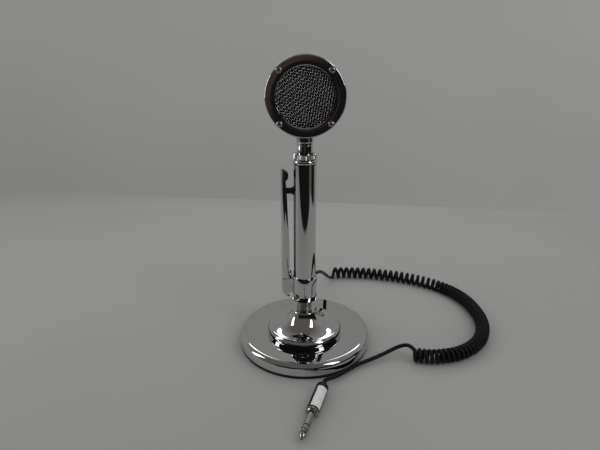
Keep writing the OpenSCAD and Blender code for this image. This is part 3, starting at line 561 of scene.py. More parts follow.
@dataclass(frozen=True)
class Finish:
    """A surface finish. Most are named after the record's slot that they stand for."""

    name: str
    colour: Triple
    dull: Triple
    roughness: Pair
    tarnish: float = 0.3
    patch: float = 60.0
    grain_size: float = 900.0
    grain_depth: float = 0.1
    dust: float = 0.0

    def start(self) -> tuple[Material, Wiring, Node, Socket]:
        """Makes the material with its shader and the place that its patterns read.

        Returns:
            The material, its wiring, its shader and the object coordinates.
        """
        material = bpy.data.materials.new(self.name + "_finish")
        w = Wiring.afresh(material)
        shader = w.put("ShaderNodeBsdfPrincipled")
        w.link(shader.outputs[0], w.put("ShaderNodeOutputMaterial").inputs[0])
        return material, w, shader, w.place()

    def coat(self, w: Wiring, shader: Node, place: Socket) -> Socket:
        """Wires colour, roughness and grain, which every finish has.

        Args:
            w: The material's wiring.
            shader: Its shader.
            place: The coordinates that the patterns read.

        Returns:
            The colour before any dust.
        """
        patches = w.effect(Effects.tarnish(), {
            "Vector": place, "Size": self.patch, "Bright": (*self.colour, 1.0), "Dull": (*self.dull, 1.0),
            "Amount": self.tarnish})
        marks = w.effect(Effects.handling(), {
            "Vector": place, "Size": self.patch, "Least": self.roughness[0], "Most": self.roughness[1]})
        bumps = w.effect(Effects.grain(), {
            "Vector": place, "Size": self.grain_size, "Depth": self.grain_depth})
        bump = w.put("ShaderNodeBump", {"Height": bumps.outputs[0], "Strength": 1.0, "Distance": MM})
        w.link(marks.outputs[0], shader.inputs["Roughness"])
        w.link(bump.outputs[0], shader.inputs["Normal"])
        return patches.outputs["Color"]


@dataclass(frozen=True)
class Metal(Finish):
    """Plated or bare metal."""

    def build(self) -> Material:
        """Builds the material."""
        material, w, shader, place = self.start()
        shader.inputs["Metallic"].default_value = 1.0
        w.link(self.coat(w, shader, place), shader.inputs["Base Color"])
        return material


@dataclass(frozen=True)
class Moulding(Finish):
    """Rubber, moulded plastic, board or paper."""

    dust_colour: Triple = (0.22, 0.21, 0.2)
    specular: float = 0.4

    def build(self) -> Material:
        """Builds the material."""
        material, w, shader, place = self.start()
        shader.inputs["Specular IOR Level"].default_value = self.specular
        colour = self.coat(w, shader, place)
        settled = w.effect(Effects.dust(), {"Vector": place, "Size": self.grain_size, "Amount": self.dust})
        w.link(w.mix(settled.outputs[0], colour, (*self.dust_colour, 1.0)), shader.inputs["Base Color"])
        return material


@dataclass(frozen=True)
class Cloth(Finish):
    """Thin black cloth with its weave."""

    threads: float = 1900.0
    specular: float = 0.08

    def build(self) -> Material:
        """Builds the material."""
        material, w, shader, place = self.start()
        shader.inputs["Specular IOR Level"].default_value = self.specular
        colour = self.coat(w, shader, place)
        threads = w.effect(Effects.weave(), {"Vector": place, "Threads": self.threads})
        bump = w.put("ShaderNodeBump", {"Height": threads.outputs[0], "Strength": 0.6, "Distance": 0.1 * MM})
        w.link(bump.outputs[0], shader.inputs["Normal"])
        # Painted light and shade: the threads' crowns take the lighter dull colour and the valleys between them
        # the darker one.
        shade = w.mix(w.span(threads.outputs[0], -1.0, 1.0), colour, (*self.dull, 1.0))
        w.link(shade, shader.inputs["Base Color"])
        return material


FINISHES: tuple[Finish, ...] = (
    Metal("chrome_plate", (0.68, 0.68, 0.685), (0.55, 0.55, 0.545), (0.02, 0.06), tarnish=0.25, patch=45.0,
          grain_size=2500.0, grain_depth=0.0004),
    Moulding("pad_rubber", (0.006, 0.006, 0.007), (0.013, 0.012, 0.012), (0.45, 0.75), grain_size=2600.0,
             grain_depth=0.05, dust=0.08, specular=0.25),
    Moulding("soft_rubber", (0.006, 0.006, 0.006), (0.012, 0.012, 0.011), (0.42, 0.68), grain_size=3500.0,
             grain_depth=0.03, dust=0.06, specular=0.25),
    Moulding("cord_rubber", (0.003, 0.003, 0.004), (0.006, 0.006, 0.006), (0.34, 0.55), patch=120.0,
             grain_size=2800.0, grain_depth=0.015, dust=0.03, specular=0.18),
    Metal("weight_iron", (0.20, 0.20, 0.21), (0.10, 0.08, 0.07), (0.55, 0.8), tarnish=0.7, grain_size=1500.0,
          grain_depth=0.1),
    Metal("plain_steel", (0.52, 0.50, 0.44), (0.30, 0.26, 0.18), (0.22, 0.42), tarnish=0.6, patch=220.0,
          grain_size=3000.0, grain_depth=0.01),
    Metal("spring_black", (0.035, 0.035, 0.038), (0.02, 0.018, 0.016), (0.3, 0.5), grain_size=3000.0,
          grain_depth=0.01),
    Moulding("black_plastic", (0.005, 0.005, 0.006), (0.010, 0.010, 0.010), (0.3, 0.5), patch=90.0,
             grain_size=4200.0, grain_depth=0.012, dust=0.05, specular=0.25),
    Moulding("brown_board", (0.16, 0.075, 0.03), (0.09, 0.04, 0.018), (0.4, 0.6), tarnish=0.6,
             grain_size=1800.0, grain_depth=0.03),
    Metal("plug_nickel", (0.42, 0.41, 0.37), (0.20, 0.19, 0.145), (0.16, 0.34), tarnish=0.7, patch=260.0,
          grain_size=3200.0, grain_depth=0.006),
    Metal("contact_brass", (0.80, 0.60, 0.26), (0.42, 0.26, 0.10), (0.16, 0.35), tarnish=0.5, patch=240.0,
          grain_size=3000.0, grain_depth=0.01),
    Moulding("wire_sleeve", (0.32, 0.03, 0.02), (0.20, 0.02, 0.015), (0.35, 0.5), grain_size=2500.0,
             grain_depth=0.02),
    Metal("grille_steel", (0.43, 0.43, 0.47), (0.19, 0.19, 0.21), (0.04, 0.10), tarnish=0.3, patch=420.0,
          grain_size=5200.0, grain_depth=0.008),
    Cloth("black_cloth", (0.004, 0.004, 0.005), (0.009, 0.009, 0.011), (0.85, 0.98), grain_size=4000.0,
          grain_depth=0.03),
    Metal("can_aluminium", (0.72, 0.72, 0.71), (0.50, 0.50, 0.49), (0.24, 0.45), tarnish=0.5,
          grain_size=2600.0, grain_depth=0.02),
    Moulding("crystal_white", (0.62, 0.60, 0.52), (0.50, 0.47, 0.40), (0.3, 0.5), tarnish=0.6,
             grain_size=1500.0, grain_depth=0.03),
    # Worn by single pieces in place of their slot's finish.
    Moulding("label_paper", (0.50, 0.50, 0.50), (0.30, 0.29, 0.31), (0.55, 0.8), tarnish=0.55, patch=420.0,
             grain_size=2400.0, grain_depth=0.06, dust=0.1),
    # Painted shade: a copy of chrome_plate at half its brightness, with a rougher surface, that dims the face
    # screws.
    Metal("painted_shade_chrome", (0.34, 0.335, 0.33), (0.20, 0.19, 0.18), (0.2, 0.38), tarnish=0.5, patch=300.0,
          grain_size=3000.0, grain_depth=0.004),
    # Painted shade: the collar's set screws are coloured this dark to stand for the shade in their recesses.
    Metal("painted_recess_shade", (0.10, 0.095, 0.085), (0.05, 0.045, 0.04), (0.35, 0.5), tarnish=0.5, patch=300.0,
          grain_size=3000.0, grain_depth=0.01),
)

CAD_FINISHES: dict[str, tuple[str, ...]] = {
    "weight_iron": ("base_weight",),
    "plain_steel": ("base_nut", "bar_pivot_pin"),
    "plug_nickel": ("switch_bracket", "neck_nut"),
    "spring_black": ("return_spring",),
    "black_plastic": ("plunger_bush",),
    "brown_board": ("head_socket", "switch_insulators", "pin_block"),
    "contact_brass": ("socket_contacts", "fixed_blade", "blade_tail", "moving_blade", "contact_pins", "drive_pin",
                      "bracket_screw", "switch_screws", "cord_crimp"),
    "wire_sleeve": ("stem_wires", "head_wires"),
    "grille_steel": ("grille_rim",),
    "soft_rubber": ("cartridge_gasket",),
    "can_aluminium": ("cartridge_can", "cartridge_guard", "diaphragm"),
    "crystal_white": ("crystal_element",),
}


class Wardrobe:
    """Builds each finish once and puts it on the pieces."""

    def __init__(self) -> None:
        """Builds every finish."""
        self.made = {finish.name: finish.build() for finish in FINISHES}

    def wear(self, piece: Piece, finish: str) -> None:
        """Puts one finish on the whole piece."""
        if not piece.material_slots:
            piece.data.materials.append(self.made[finish])
        for slot in piece.material_slots:
            slot.material = self.made[finish]

    def dress(self, piece: Piece, body: Body, slot: str, *nodes: str, angle: float = 35.0) -> Piece:
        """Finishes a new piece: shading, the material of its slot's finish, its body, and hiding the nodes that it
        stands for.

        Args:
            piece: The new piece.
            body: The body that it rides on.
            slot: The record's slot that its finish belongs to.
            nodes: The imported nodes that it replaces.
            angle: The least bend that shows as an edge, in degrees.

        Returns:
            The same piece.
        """
        Bench.smooth(piece, angle)
        piece.data.materials.clear()
        self.wear(piece, slot)
        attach(piece, body.value)
        if nodes:
            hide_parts(*nodes)
        log.info("%s: %d faces, on %s", piece.name, len(piece.data.polygons), body.value)
        return piece

    def dress_inner(self) -> None:
        """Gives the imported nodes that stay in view, or lie inside, their finishes."""
        for slot, nodes in CAD_FINISHES.items():
            for node in nodes:
                self.wear(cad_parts[node], slot)
        self.wear(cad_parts["bar_pivot_pin"], "chrome_plate")


@dataclass
class Camera:
    """The camera that took the picture."""

    place: Triple = (-17.7, -461.3, 308.9)
    turn: float = -1.62
    pitch: float = 20.93
    lens: float = 30.0
    sensor: float = 36.0

    def build(self) -> None:
        """Makes the camera and looks through it."""
        data = bpy.data.cameras.new("camera")
        data.lens = self.lens
        data.sensor_width = self.sensor
        data.clip_start = 0.01
        camera = added("camera", data)
        camera.location = mm(*self.place)
        camera.rotation_euler = (math.radians(90.0 - self.pitch), 0.0, math.radians(self.turn))
        bpy.context.scene.camera = camera


@dataclass
class Cord:
    """The curly cord from the collar to the plug, one length of rubber."""

    wardrobe: Wardrobe
    diameter: float = 4.0
    length: float = 2650.0
    coil_radius: float = 5.5
    exit_radius: float = 14.3
    exit_turn: float = EXIT_TURN
    exit_height: float = EXIT_Z
    turn_points: int = 16
    route_parts: int = 5
    coil_stop: float = 4.0
    first_angle: float = -135.0
    last_angle: float = 90.0
    pitches: tuple[Pair, ...] = ((0.0, 7.6), (130.0, 7.0), (160.0, 4.2), (285.0, 4.2), (310.0, 5.2), (400.0, 5.2))
    lead: tuple[Triple, ...] = (
        (2.7, 6.4, 65.5), (5.5, 13, 65.5), (9.4, 22.1, 65.4), (14, 33, 63), (18.3, 47.5, 57.5),
        (22.8, 63, 49), (28, 86, 35), (32.5, 106, 22.5), (36, 121, 13), (39.2, 130.5, 7.8),
        (41.6, 136.2, 5.2))
    coil: tuple[Triple, ...] = (
        (43, 144.3, 7.6), (66, 144.3, 7.6), (90, 141.5, 7.6), (114, 135.5, 7.6), (137, 127, 7.6),
        (157, 116, 7.6), (174, 103, 7.6), (188, 86, 7.6), (197, 65, 7.6), (200.4, 42, 7.6),
        (199.5, 20, 7.6), (194, 0, 7.6), (184, -18, 7.6), (170, -32, 7.6), (154, -41, 7.6),
        (137, -45, 7.6), (121, -45, 7.6), (105, -40.5, 7.6))
    tail: tuple[Triple, ...] = (
        (109, -38, 12.4), (105.5, -34, 12.8), (101, -31.2, 11.6), (95, -30.4, 9.2), (88, -32.5, 7.2),
        (78, -37.5, 5.6), (68, -42.6, 4.8), (59, -47.2, 4.4), (50.5, -52, 4.4), (42.5, -58, 4.5),
        (35, -64.2, 4.7), (28, -70, 5.1), (19.52, -74.6, 5.5), (17.99, -75.75, 5.65), (16.79, -77.21, 5.75),
        (15.96, -78.92, 5.8), (15.64, -79.84, 5.8))

    def pitch_at(self, along: float) -> float:
        """The distance between turns at a distance along the coil, in millimetres."""
        for (low, a), (high, b) in zip(self.pitches, self.pitches[1:]):
            if along <= high:
                return a + (b - a) * (along - low) / (high - low)
        return self.pitches[-1][1]

    def turns(self, total: float, scale: float) -> list[Pair]:
        """The coil's turns, counted along its middle line.

        Args:
            total: The length of the middle line, in millimetres.
            scale: What the number of turns is multiplied by.

        Returns:
            Pairs of distance along the coil and turns so far.
        """
        along, turned, steps = 0.0, 0.0, []
        while along < total:
            steps.append((along, turned))
            step = self.pitch_at(along) / self.turn_points
            along += step
            turned += scale * step / self.pitch_at(along)
        return steps

    def winding(self) -> list[Vector]:
        """The coiled stretch: a helix about the coil's middle line.

        Returns:
            Its points, in metres.
        """
        middle = smooth_line([Vector(p) for p in self.coil], 12)
        total = line_length(middle) - self.coil_stop
        part_turn = (self.last_angle - self.first_angle) / 360.0
        whole = self.turns(total, 1.0)[-1][1]
        scale = (math.floor(whole) + part_turn) / whole
        points, walked, i = [], 0.0, 0
        for along, turned in self.turns(total, scale):
            while walked + (middle[i + 1] - middle[i]).length < along:
                walked += (middle[i + 1] - middle[i]).length
                i += 1
            course = middle[i + 1] - middle[i]
            centre = middle[i] + course * ((along - walked) / course.length)
            ahead = (middle[min(i + 2, len(middle) - 1)] - middle[max(i - 1, 0)]).normalized()
            side = UP.cross(ahead).normalized()
            angle = math.radians(self.first_angle) + FULL_TURN * turned
            points.append((centre + self.coil_radius * (math.cos(angle) * side + math.sin(angle) * UP)) * MM)
        return points

    def build(self) -> Piece:
        """Makes the cord as one open curve.

        Returns:
            The curve.
        """
        winding = self.winding()
        lead = smooth_line([mm(*p) for p in self.lead] + winding[:1], self.route_parts)
        tail = smooth_line(winding[-1:] + [mm(*p) for p in self.tail[1:]], self.route_parts)
        points = lead[:-1] + winding + tail[1:]
        data = bpy.data.curves.new("cord", "CURVE")
        data.dimensions = "3D"
        data.bevel_depth = self.diameter / 2 * MM
        data.bevel_resolution = 4
        data.use_fill_caps = True
        spline = data.splines.new("POLY")
        spline.points.add(len(points) - 1)
        for dot, point in zip(spline.points, points):
            dot.co = (*point, 1.0)
        spline.use_smooth = True
        cord = added("cord", data)
        self.wardrobe.wear(cord, "cord_rubber")
        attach(cord, Body.STAND.value)
        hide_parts("cord_lead", "cord_coil", "cord_tail")
        log.info("cord: %d points, %.3f m", len(points), line_length(points))
        return cord


@dataclass
class Plug:
    """The quarter-inch plug at the cord's end, which lies on the table."""

    wardrobe: Wardrobe
    place: Pair = (14.0, -84.6)
    direction: float = -109.0
    handle_r: float = 5.8
    handle_l: float = 35.0
    shank_r: float = 3.175
    shank_l: float = 30.5
    tail_l: float = 5.0
    tip_l: float = 9.3
    band_l: float = 1.0
    ring_l: float = 4.4
    flange_l: float = 3.0
    label_from: float = 7.0
    label_to: float = 33.4
    label_turn: float = 28.0
    label_half: float = 50.0
    label_lift: float = 0.07
    label_steps: int = 20

    def turn(self, name: str, outline: Sequence[Pair], slot: str, *nodes: str, steps: int = 48) -> Piece:
        """Turns one piece of the plug about its axis."""
        origin = mm(*self.place, self.handle_r)
        piece = Bench.turned(name, outline, origin, heading(self.direction), steps)
        return self.wardrobe.dress(piece, Body.STAND, slot, *nodes)

    def boot(self) -> Piece:
        """The tapered sleeve with three rings where the cord enters."""
        outline = [(2.02, -self.tail_l), (2.35, -self.tail_l)]
        for ring in range(3):
            h = -self.tail_l + 0.7 + ring * 1.3
            r = 2.4 + ring * 0.18
            outline += [(r, h), (r - 0.16, h + 0.25), (r - 0.16, h + 0.55), (r + 0.1, h + 0.8)]
        outline += [(2.9, -0.1), (2.9, 0.0), (2.02, 0.0), (2.02, -self.tail_l)]
        return self.turn("plug_boot_sleeve", outline, "soft_rubber", "plug_boot")

    def handle(self) -> Piece:
        """The moulded handle, rounded where the cord enters and chamfered at the flange."""
        r, l, edge = self.handle_r, self.handle_l, 2.2
        outline = [(0.0, 0.0), *arc((r - edge, edge), edge, -90, 0, 8), (r, 6.0), (r, l / 2), (r, l - 6.0),
                   (r, l - 0.35), (r - 0.35, l), (0.0, l)]
        return self.turn("plug_grip", outline, "black_plastic", "plug_handle", steps=64)

    def label(self) -> Piece:
        """The bare paper strip wrapped over the handle's upper side."""
        axis = heading(self.direction)
        side = axis.cross(UP)
        centre = mm(*self.place, self.handle_r)
        low = self.label_turn - self.label_half
        angles = [math.radians(low + 2 * self.label_half * i / self.label_steps)
                  for i in range(self.label_steps + 1)]
        reach = (self.handle_r + self.label_lift) * MM
        curve = [centre + axis * (self.label_from * MM) + (UP * math.cos(a) - side * math.sin(a)) * reach
                 for a in angles]
        piece = Bench.pencil("plug_label", curve)
        bpy.ops.mesh.select_all(action="SELECT")
        length = (self.label_to - self.label_from) * MM
        bpy.ops.mesh.extrude_region_move(TRANSFORM_OT_translate={"value": axis * length})
        Bench.close()
        skin = piece.modifiers.new("paper", "SOLIDIFY")
        skin.thickness = 2 * self.label_lift * MM
        skin.offset = 0.0
        Bench.take(piece)
        bpy.ops.object.modifier_apply(modifier=skin.name)
        self.wardrobe.dress(piece, Body.STAND, "black_plastic")
        self.wardrobe.wear(piece, "label_paper")
        return piece

    def metal(self) -> list[Piece]:
        """The flange and the shank's pieces with their two insulating rings."""
        r, flange = self.shank_r, self.handle_l
        shank = flange + self.flange_l
        sleeve = self.shank_l - self.tip_l - self.ring_l - 2 * self.band_l
        ring = shank + sleeve + self.band_l
        tip = shank + self.shank_l - self.tip_l
        wide = self.handle_r
        made = [self.turn("plug_collar", [
            (0, flange), (wide - 0.25, flange), (wide, flange + 0.25), (wide, flange + 1.5),
            (wide - 0.3, flange + 1.8), (wide - 0.9, flange + 1.85), (wide - 1.7, flange + 3.0),
            (0, flange + 3.0)], "plug_nickel", "plug_flange")]
        made.append(self.turn("plug_barrel", [
            (0, shank), (r, shank), (r, shank + 4), (r, shank + 10), (r, shank + sleeve - 0.15),
            (r - 0.15, shank + sleeve), (0, shank + sleeve)], "plug_nickel", "plug_sleeve"))
        made.append(self.turn("plug_band", [
            (0, ring), (r - 0.15, ring), (r, ring + 0.15), (r, ring + self.ring_l - 0.15),
            (r - 0.15, ring + self.ring_l), (0, ring + self.ring_l)], "plug_nickel", "plug_ring"))
        bands = []
        for start in (shank + sleeve, ring + self.ring_l):
            bands.append(Bench.turned("plug_spacers", [
                (0, start), (r - 0.12, start), (r - 0.12, start + self.band_l), (0, start + self.band_l)],
                mm(*self.place, self.handle_r), heading(self.direction), 48))
        made.append(self.wardrobe.dress(Bench.joined(bands), Body.STAND, "black_plastic", "plug_insulators"))
        made.append(self.turn("plug_point", [
            (0, tip), (r - 0.1, tip), (r, tip + 0.1), (r, tip + 1.4), (r - 0.8, tip + 2.3), (r - 0.8, tip + 2.9),
            (r, tip + 4.4), (r, tip + 5.0), (r - 0.25, tip + 5.7), (1.3, tip + 8.4), (0.9, tip + 8.95),
            (0.4, tip + self.tip_l), (0, tip + self.tip_l)], "plug_nickel", "plug_tip"))
        return made

    def build(self) -> list[Piece]:
        """Makes the whole plug.

        Returns:
            Its pieces, in order from the cord.
        """
        return [self.boot(), self.handle(), self.label(), *self.metal()]


@dataclass
class Base:
    """The weighted foot: the plated dish with its bell, the pad and the threaded stud."""

    wardrobe: Wardrobe
    pad_t: float = 3.6
    shoulder_h: float = 15.4
    shoulder_r: float = 5.5
    dish_drop: float = 2.5
    bell_edge: float = 35.9
    bell_foot: float = 20.6
    lip: tuple[Pair, ...] = ((36.2, 19.95), (36.32, 20.12), (36.32, 20.36), (36.15, 20.54))
    bead: Pair = (33.3, 15.4)
    bead_r: float = 5.2
    bead_low: float = 13.0
    bead_high: float = 56.0
    bead_foot: float = 36.7
    bell_top: Pair = (12.5, 38.4)
    wall: float = 1.6
    pad_hole: float = 14.32
    stud_bore: float = 8.0
    cavity_top: float = 32.2
    stud_r: float = 7.94
    thread_pitch: float = 0.94
    thread_depth: float = 0.5
    steps: int = 160

    def outer(self, radius: float, inset: float) -> list[Pair]:
        """The skin of the dish from its foot up to the bell.

        Args:
            radius: The radius of the base.
            inset: How far the skin is moved in, for the inner side of the wall.

        Returns:
            The outline's points as (radius, height).
        """
        rise = self.bell_top[1] - self.bell_foot
        run = self.bell_edge - self.bell_top[0]
        bell = (run * run + rise * rise) / (2 * rise)
        flat = self.shoulder_h - self.dish_drop
        centre = (self.bell_edge, self.bell_foot + bell)
        top = math.degrees(math.atan2(self.bell_top[1] - centre[1], self.bell_top[0] - centre[0])) % 360.0
        if inset:
            top = 360.0 - math.degrees(math.acos((centre[1] - self.cavity_top) / (bell + inset))) - 90.0
        corner = (radius - self.shoulder_r, self.shoulder_h - self.shoulder_r)
        shoulder = arc(corner, self.shoulder_r - inset, 0, 90, 12)
        bead = arc(self.bead, self.bead_r - inset, self.bead_low, self.bead_high, 18)
        foot_r = self.bead_foot - inset
        lip = [] if inset else list(self.lip)
        fall = self.dish_drop / (corner[0] - foot_r - 0.45)
        slope = [(r, self.shoulder_h - inset - (corner[0] - r) * fall)
                 for r in (corner[0] - 0.5, corner[0] - 12.0, foot_r + 0.9)]
        foot = [*slope, (foot_r + 0.45, flat - inset), (foot_r + 0.12, flat - inset + 0.12)]
        bell_arc = arc(centre, bell + inset, 270.0, top, 26)
        return [(radius - inset, self.pad_t), *shoulder, *foot, *bead, *lip, *bell_arc[1 if inset else 0:]]

    def dish(self) -> Piece:
        """The plated shell, one skin with an inner and an outer side."""
        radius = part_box("base_shell")[1].x / MM
        outer = self.outer(radius, 0.0)
        inner = self.outer(radius, self.wall)
        lip = [(self.bell_top[0] - 0.25, self.bell_top[1]), (self.stud_bore, self.bell_top[1]),
               (self.stud_bore, self.cavity_top)]
        foot = [(radius - self.wall, self.pad_t), (radius - 0.3, self.pad_t), (radius, self.pad_t + 0.3)]
        outline = [*foot, *outer[1:-1], (self.bell_top[0], self.bell_top[1] - 0.25), *lip, *reversed(inner)]
        piece = Bench.turned("base_dish", outline, Vector(), UP, self.steps)
        return self.wardrobe.dress(piece, Body.STAND, "chrome_plate", "base_shell", angle=28.0)

    def pad(self) -> Piece:
        """The rubber pad, with a rounded edge and a groove round its side."""
        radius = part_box("base_pad")[1].x / MM
        hole = self.pad_hole
        outline = [(hole, 0.0), (radius - 9.0, 0.0), (radius - 8.6, 0.5), (radius - 6.4, 0.5), (radius - 6.0, 0.0),
                   (radius - 0.9, 0.0), (radius - 0.25, 0.3), (radius, 0.9), (radius, 1.5), (radius - 0.3, 1.75),
                   (radius, 2.0), (radius, self.pad_t), (hole, self.pad_t), (hole, 0.0)]
        piece = Bench.turned("base_foot_pad", outline, Vector(), UP, 128)
        return self.wardrobe.dress(piece, Body.STAND, "pad_rubber", "base_pad")

    def stud(self) -> Piece:
        """The stud with the rings of its thread."""
        low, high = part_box("base_stud")
        bottom, top = low.z / MM, high.z / MM
        root = self.stud_r - self.thread_depth
        outline = [(3.2, bottom), (root, bottom)]
        ring = bottom + 0.3
        while ring + self.thread_pitch < top:
            outline += [(root, ring), (self.stud_r, ring + 0.36 * self.thread_pitch),
                        (self.stud_r, ring + 0.52 * self.thread_pitch), (root, ring + 0.88 * self.thread_pitch)]
            ring += self.thread_pitch
        outline += [(root, top), (3.2, top), (3.2, bottom)]
        piece = Bench.turned("base_threaded_stud", outline, Vector(), UP, 64)
        return self.wardrobe.dress(piece, Body.STAND, "plain_steel", "base_stud", angle=20.0)

    def build(self) -> None:
        """Makes the base's pieces."""
        self.dish()
        self.pad()
        self.stud()


@dataclass
class Stem:
    """The collar with its bracket, the tube and its cap."""

    wardrobe: Wardrobe
    collar_r: float = 12.55
    collar_low: float = 51.2
    collar_top: float = 77.2
    thread_top: float = 60.0
    stud_bore: float = 7.99
    tube_bore: float = 11.35
    bracket_w: float = GRIP_WIDTH
    bracket_edge: float = 2.4
    bracket_x: float = GRIP_X
    foot_z: float = 75.4
    pivot: Pair = PIVOT
    pivot_r: float = 1.51
    pocket_z: float = 64.0
    screw_z: float = 57.2
    screw_turns: tuple[float, ...] = (-130.0, -10.0, 110.0)
    screw_r: float = 2.4
    recess_r: float = 3.5
    recess_t: float = 0.8
    cord_turn: float = EXIT_TURN
    cord_z: float = EXIT_Z
    cord_hole: float = 3.55
    tube_r: float = 11.3
    tube_in: float = 10.1
    tube_top: float = 194.5
    plunger_z: float = PLUNGER_Z
    plunger_hole: float = 4.2
    steps: int = 128

    def bracket(self) -> Piece:
        """The cast lug that the grip bar turns in."""
        x, z = self.bracket_x, self.foot_z
        inner = -self.collar_r + 1.0
        outline = [(inner, z), (x, z), (x, z - 12.9), (x + 1.6, z - 15.9), (x + 3.8, z - 18.3),
                   (x + 6.0, z - 19.6), (-15.35, z - 19.6), (-15.35, z - 14.9), (inner, z - 14.9)]
        lug = Bench.prism("bracket_lug", outline, self.bracket_w)
        half = self.bracket_w / 2 * MM - 0.01 * MM
        Bench.open(lug)
        Bench.pick(lug, Part.EDGES, lambda p: abs(p.y) > half and p.x < (x + 0.01) * MM)
        bpy.ops.mesh.bevel(offset=self.bracket_edge * MM, segments=6, affect="EDGES")
        Bench.close()
        return lug

    def collar(self) -> Piece:
        """The collar, turned, with the bracket fused to it and its holes cut."""
        r, low, top = self.collar_r, self.collar_low, self.collar_top
        outline = [(self.stud_bore, low), (r - 0.5, low), (r - 0.15, low + 0.15), (r, low + 0.5), (r, low + 9.0),
                   (r, low + 17.0), (r, top - 0.15), (r - 0.05, top - 0.05), (r - 0.15, top),
                   (self.tube_bore, top), (self.tube_bore, self.thread_top), (self.stud_bore, self.thread_top),
                   (self.stud_bore, low)]
        collar = Bench.turned("stem_collar_body", outline, Vector(), UP, self.steps)
        Bench.cut(collar, self.bracket(), Cut.JOINED)
        Bench.drill(collar, mm(0, 0, self.thread_top), UP, self.tube_bore, 30.0, self.steps)
        pocket = Bench.block("pocket", (self.bracket_x + 1.5, -4.0, self.pocket_z), (-13.4, 4.0, top + 1.0))
        Bench.cut(collar, pocket, Cut.AWAY)
        Bench.drill(collar, mm(self.pivot[0], -8.0, self.pivot[1]), -FORWARD, self.pivot_r, 16.0)
        for turn in self.screw_turns:
            out = heading(turn)
            Bench.drill(collar, mm(0, 0, self.screw_z), out, self.screw_r + 0.02, 20.0)
            start = out * ((r - self.recess_t) * MM) + UP * (self.screw_z * MM)
            Bench.drill(collar, start, out, self.recess_r, 4.0)
        Bench.drill(collar, mm(0, 0, self.cord_z), heading(self.cord_turn), self.cord_hole, 20.0)
        Bench.soften(collar, 0.08, 2, 50.0)
        return self.wardrobe.dress(collar, Body.STAND, "chrome_plate", "stem_collar", angle=30.0)

    def tube(self) -> Piece:
        """The plated tube with the holes for the plunger and the cord."""
        low, top = self.thread_top, self.tube_top
        rows = (80.0, 110.0, 135.0, 155.0, 162.0, 174.0, 182.0)
        outline = [(self.tube_in, low), (self.tube_r, low), *[(self.tube_r, z) for z in rows],
                   (self.tube_r, top), (self.tube_in, top), *[(self.tube_in, z) for z in reversed(rows)],
                   (self.tube_in, low)]
        tube = Bench.turned("stem_tube_body", outline, Vector(), UP, self.steps)
        Bench.drill(tube, mm(0, 0, self.plunger_z), -RIGHT, self.plunger_hole, 20.0)
        Bench.drill(tube, mm(0, 0, self.cord_z), heading(self.cord_turn), self.cord_hole, 20.0)
        return self.wardrobe.dress(tube, Body.STAND, "chrome_plate", "stem_tube", angle=30.0)

    def cap(self) -> Piece:
        """The cap with its half-round bead, its spigot and the thread that the ring screws on."""
        top, bead = self.tube_top, 2.5
        outline = [(7.72, 199.0), (7.72, 195.2), (7.0, 195.2), (7.0, 188.0), (4.0, 188.0), (4.0, 186.0),
                   (10.05, 186.0), (10.05, top), *arc((11.95 - bead, top + bead), bead, -80, 80, 12),
                   (9.0, top + 2 * bead)]
        turn = top + 2 * bead + 0.3
        while turn < 202.8:
            outline += [(8.7, turn), (9.0, turn + 0.3), (8.7, turn + 0.6)]
            turn += 0.7
        outline += [(8.7, 203.2), (7.72, 203.2), (7.72, 199.0)]
        cap = Bench.turned("tube_cap_body", outline, Vector(), UP, 96)
        return self.wardrobe.dress(cap, Body.STAND, "chrome_plate", "tube_cap")

    def grub_screws(self) -> Piece:
        """The slotted set screws in the collar."""
        made = []
        for turn in self.screw_turns:
            out = heading(turn)
            origin = mm(0, 0, self.screw_z)
            r, start, end = self.screw_r - 0.02, 8.1, 11.4
            screw = Bench.turned("collar_grub_screws", [
                (0, start), (r, start), (r, end - 0.3), (r - 0.3, end), (0, end)], origin, out, 32)
            across = UP.cross(out)
            made.append(Bench.drill(screw, origin + out * (11.3 * MM) - across * (3 * MM), across, 0.45, 6.0, 4))
        screws = Bench.soften(Bench.joined(made), 0.05, 1, 50.0)
        self.wardrobe.dress(screws, Body.STAND, "plain_steel", "collar_set_screws")
        # Painted shade: a dark colour on the screws stands for the shade in the collar's recesses.
        self.wardrobe.wear(screws, "painted_recess_shade")
        return screws

    def grommet(self) -> Piece:
        """The rubber grommet that the cord leaves through, drawn out to a short taper."""
        outline = [(2.06, 9.6), (3.45, 9.6), (3.45, 12.65), (4.45, 12.65), (4.6, 12.85), (4.6, 13.5), (4.3, 14.0),
                   (3.2, 14.15), (2.5, 14.3), (2.06, 14.3), (2.06, 9.6)]
        piece = Bench.turned("cord_relief", outline, mm(0, 0, self.cord_z), heading(self.cord_turn), 48)
        return self.wardrobe.dress(piece, Body.STAND, "soft_rubber", "cord_grommet")

    def build(self) -> None:
        """Makes the stem's pieces."""
        self.collar()
        self.tube()
        self.cap()
        self.grub_screws()
        self.grommet()


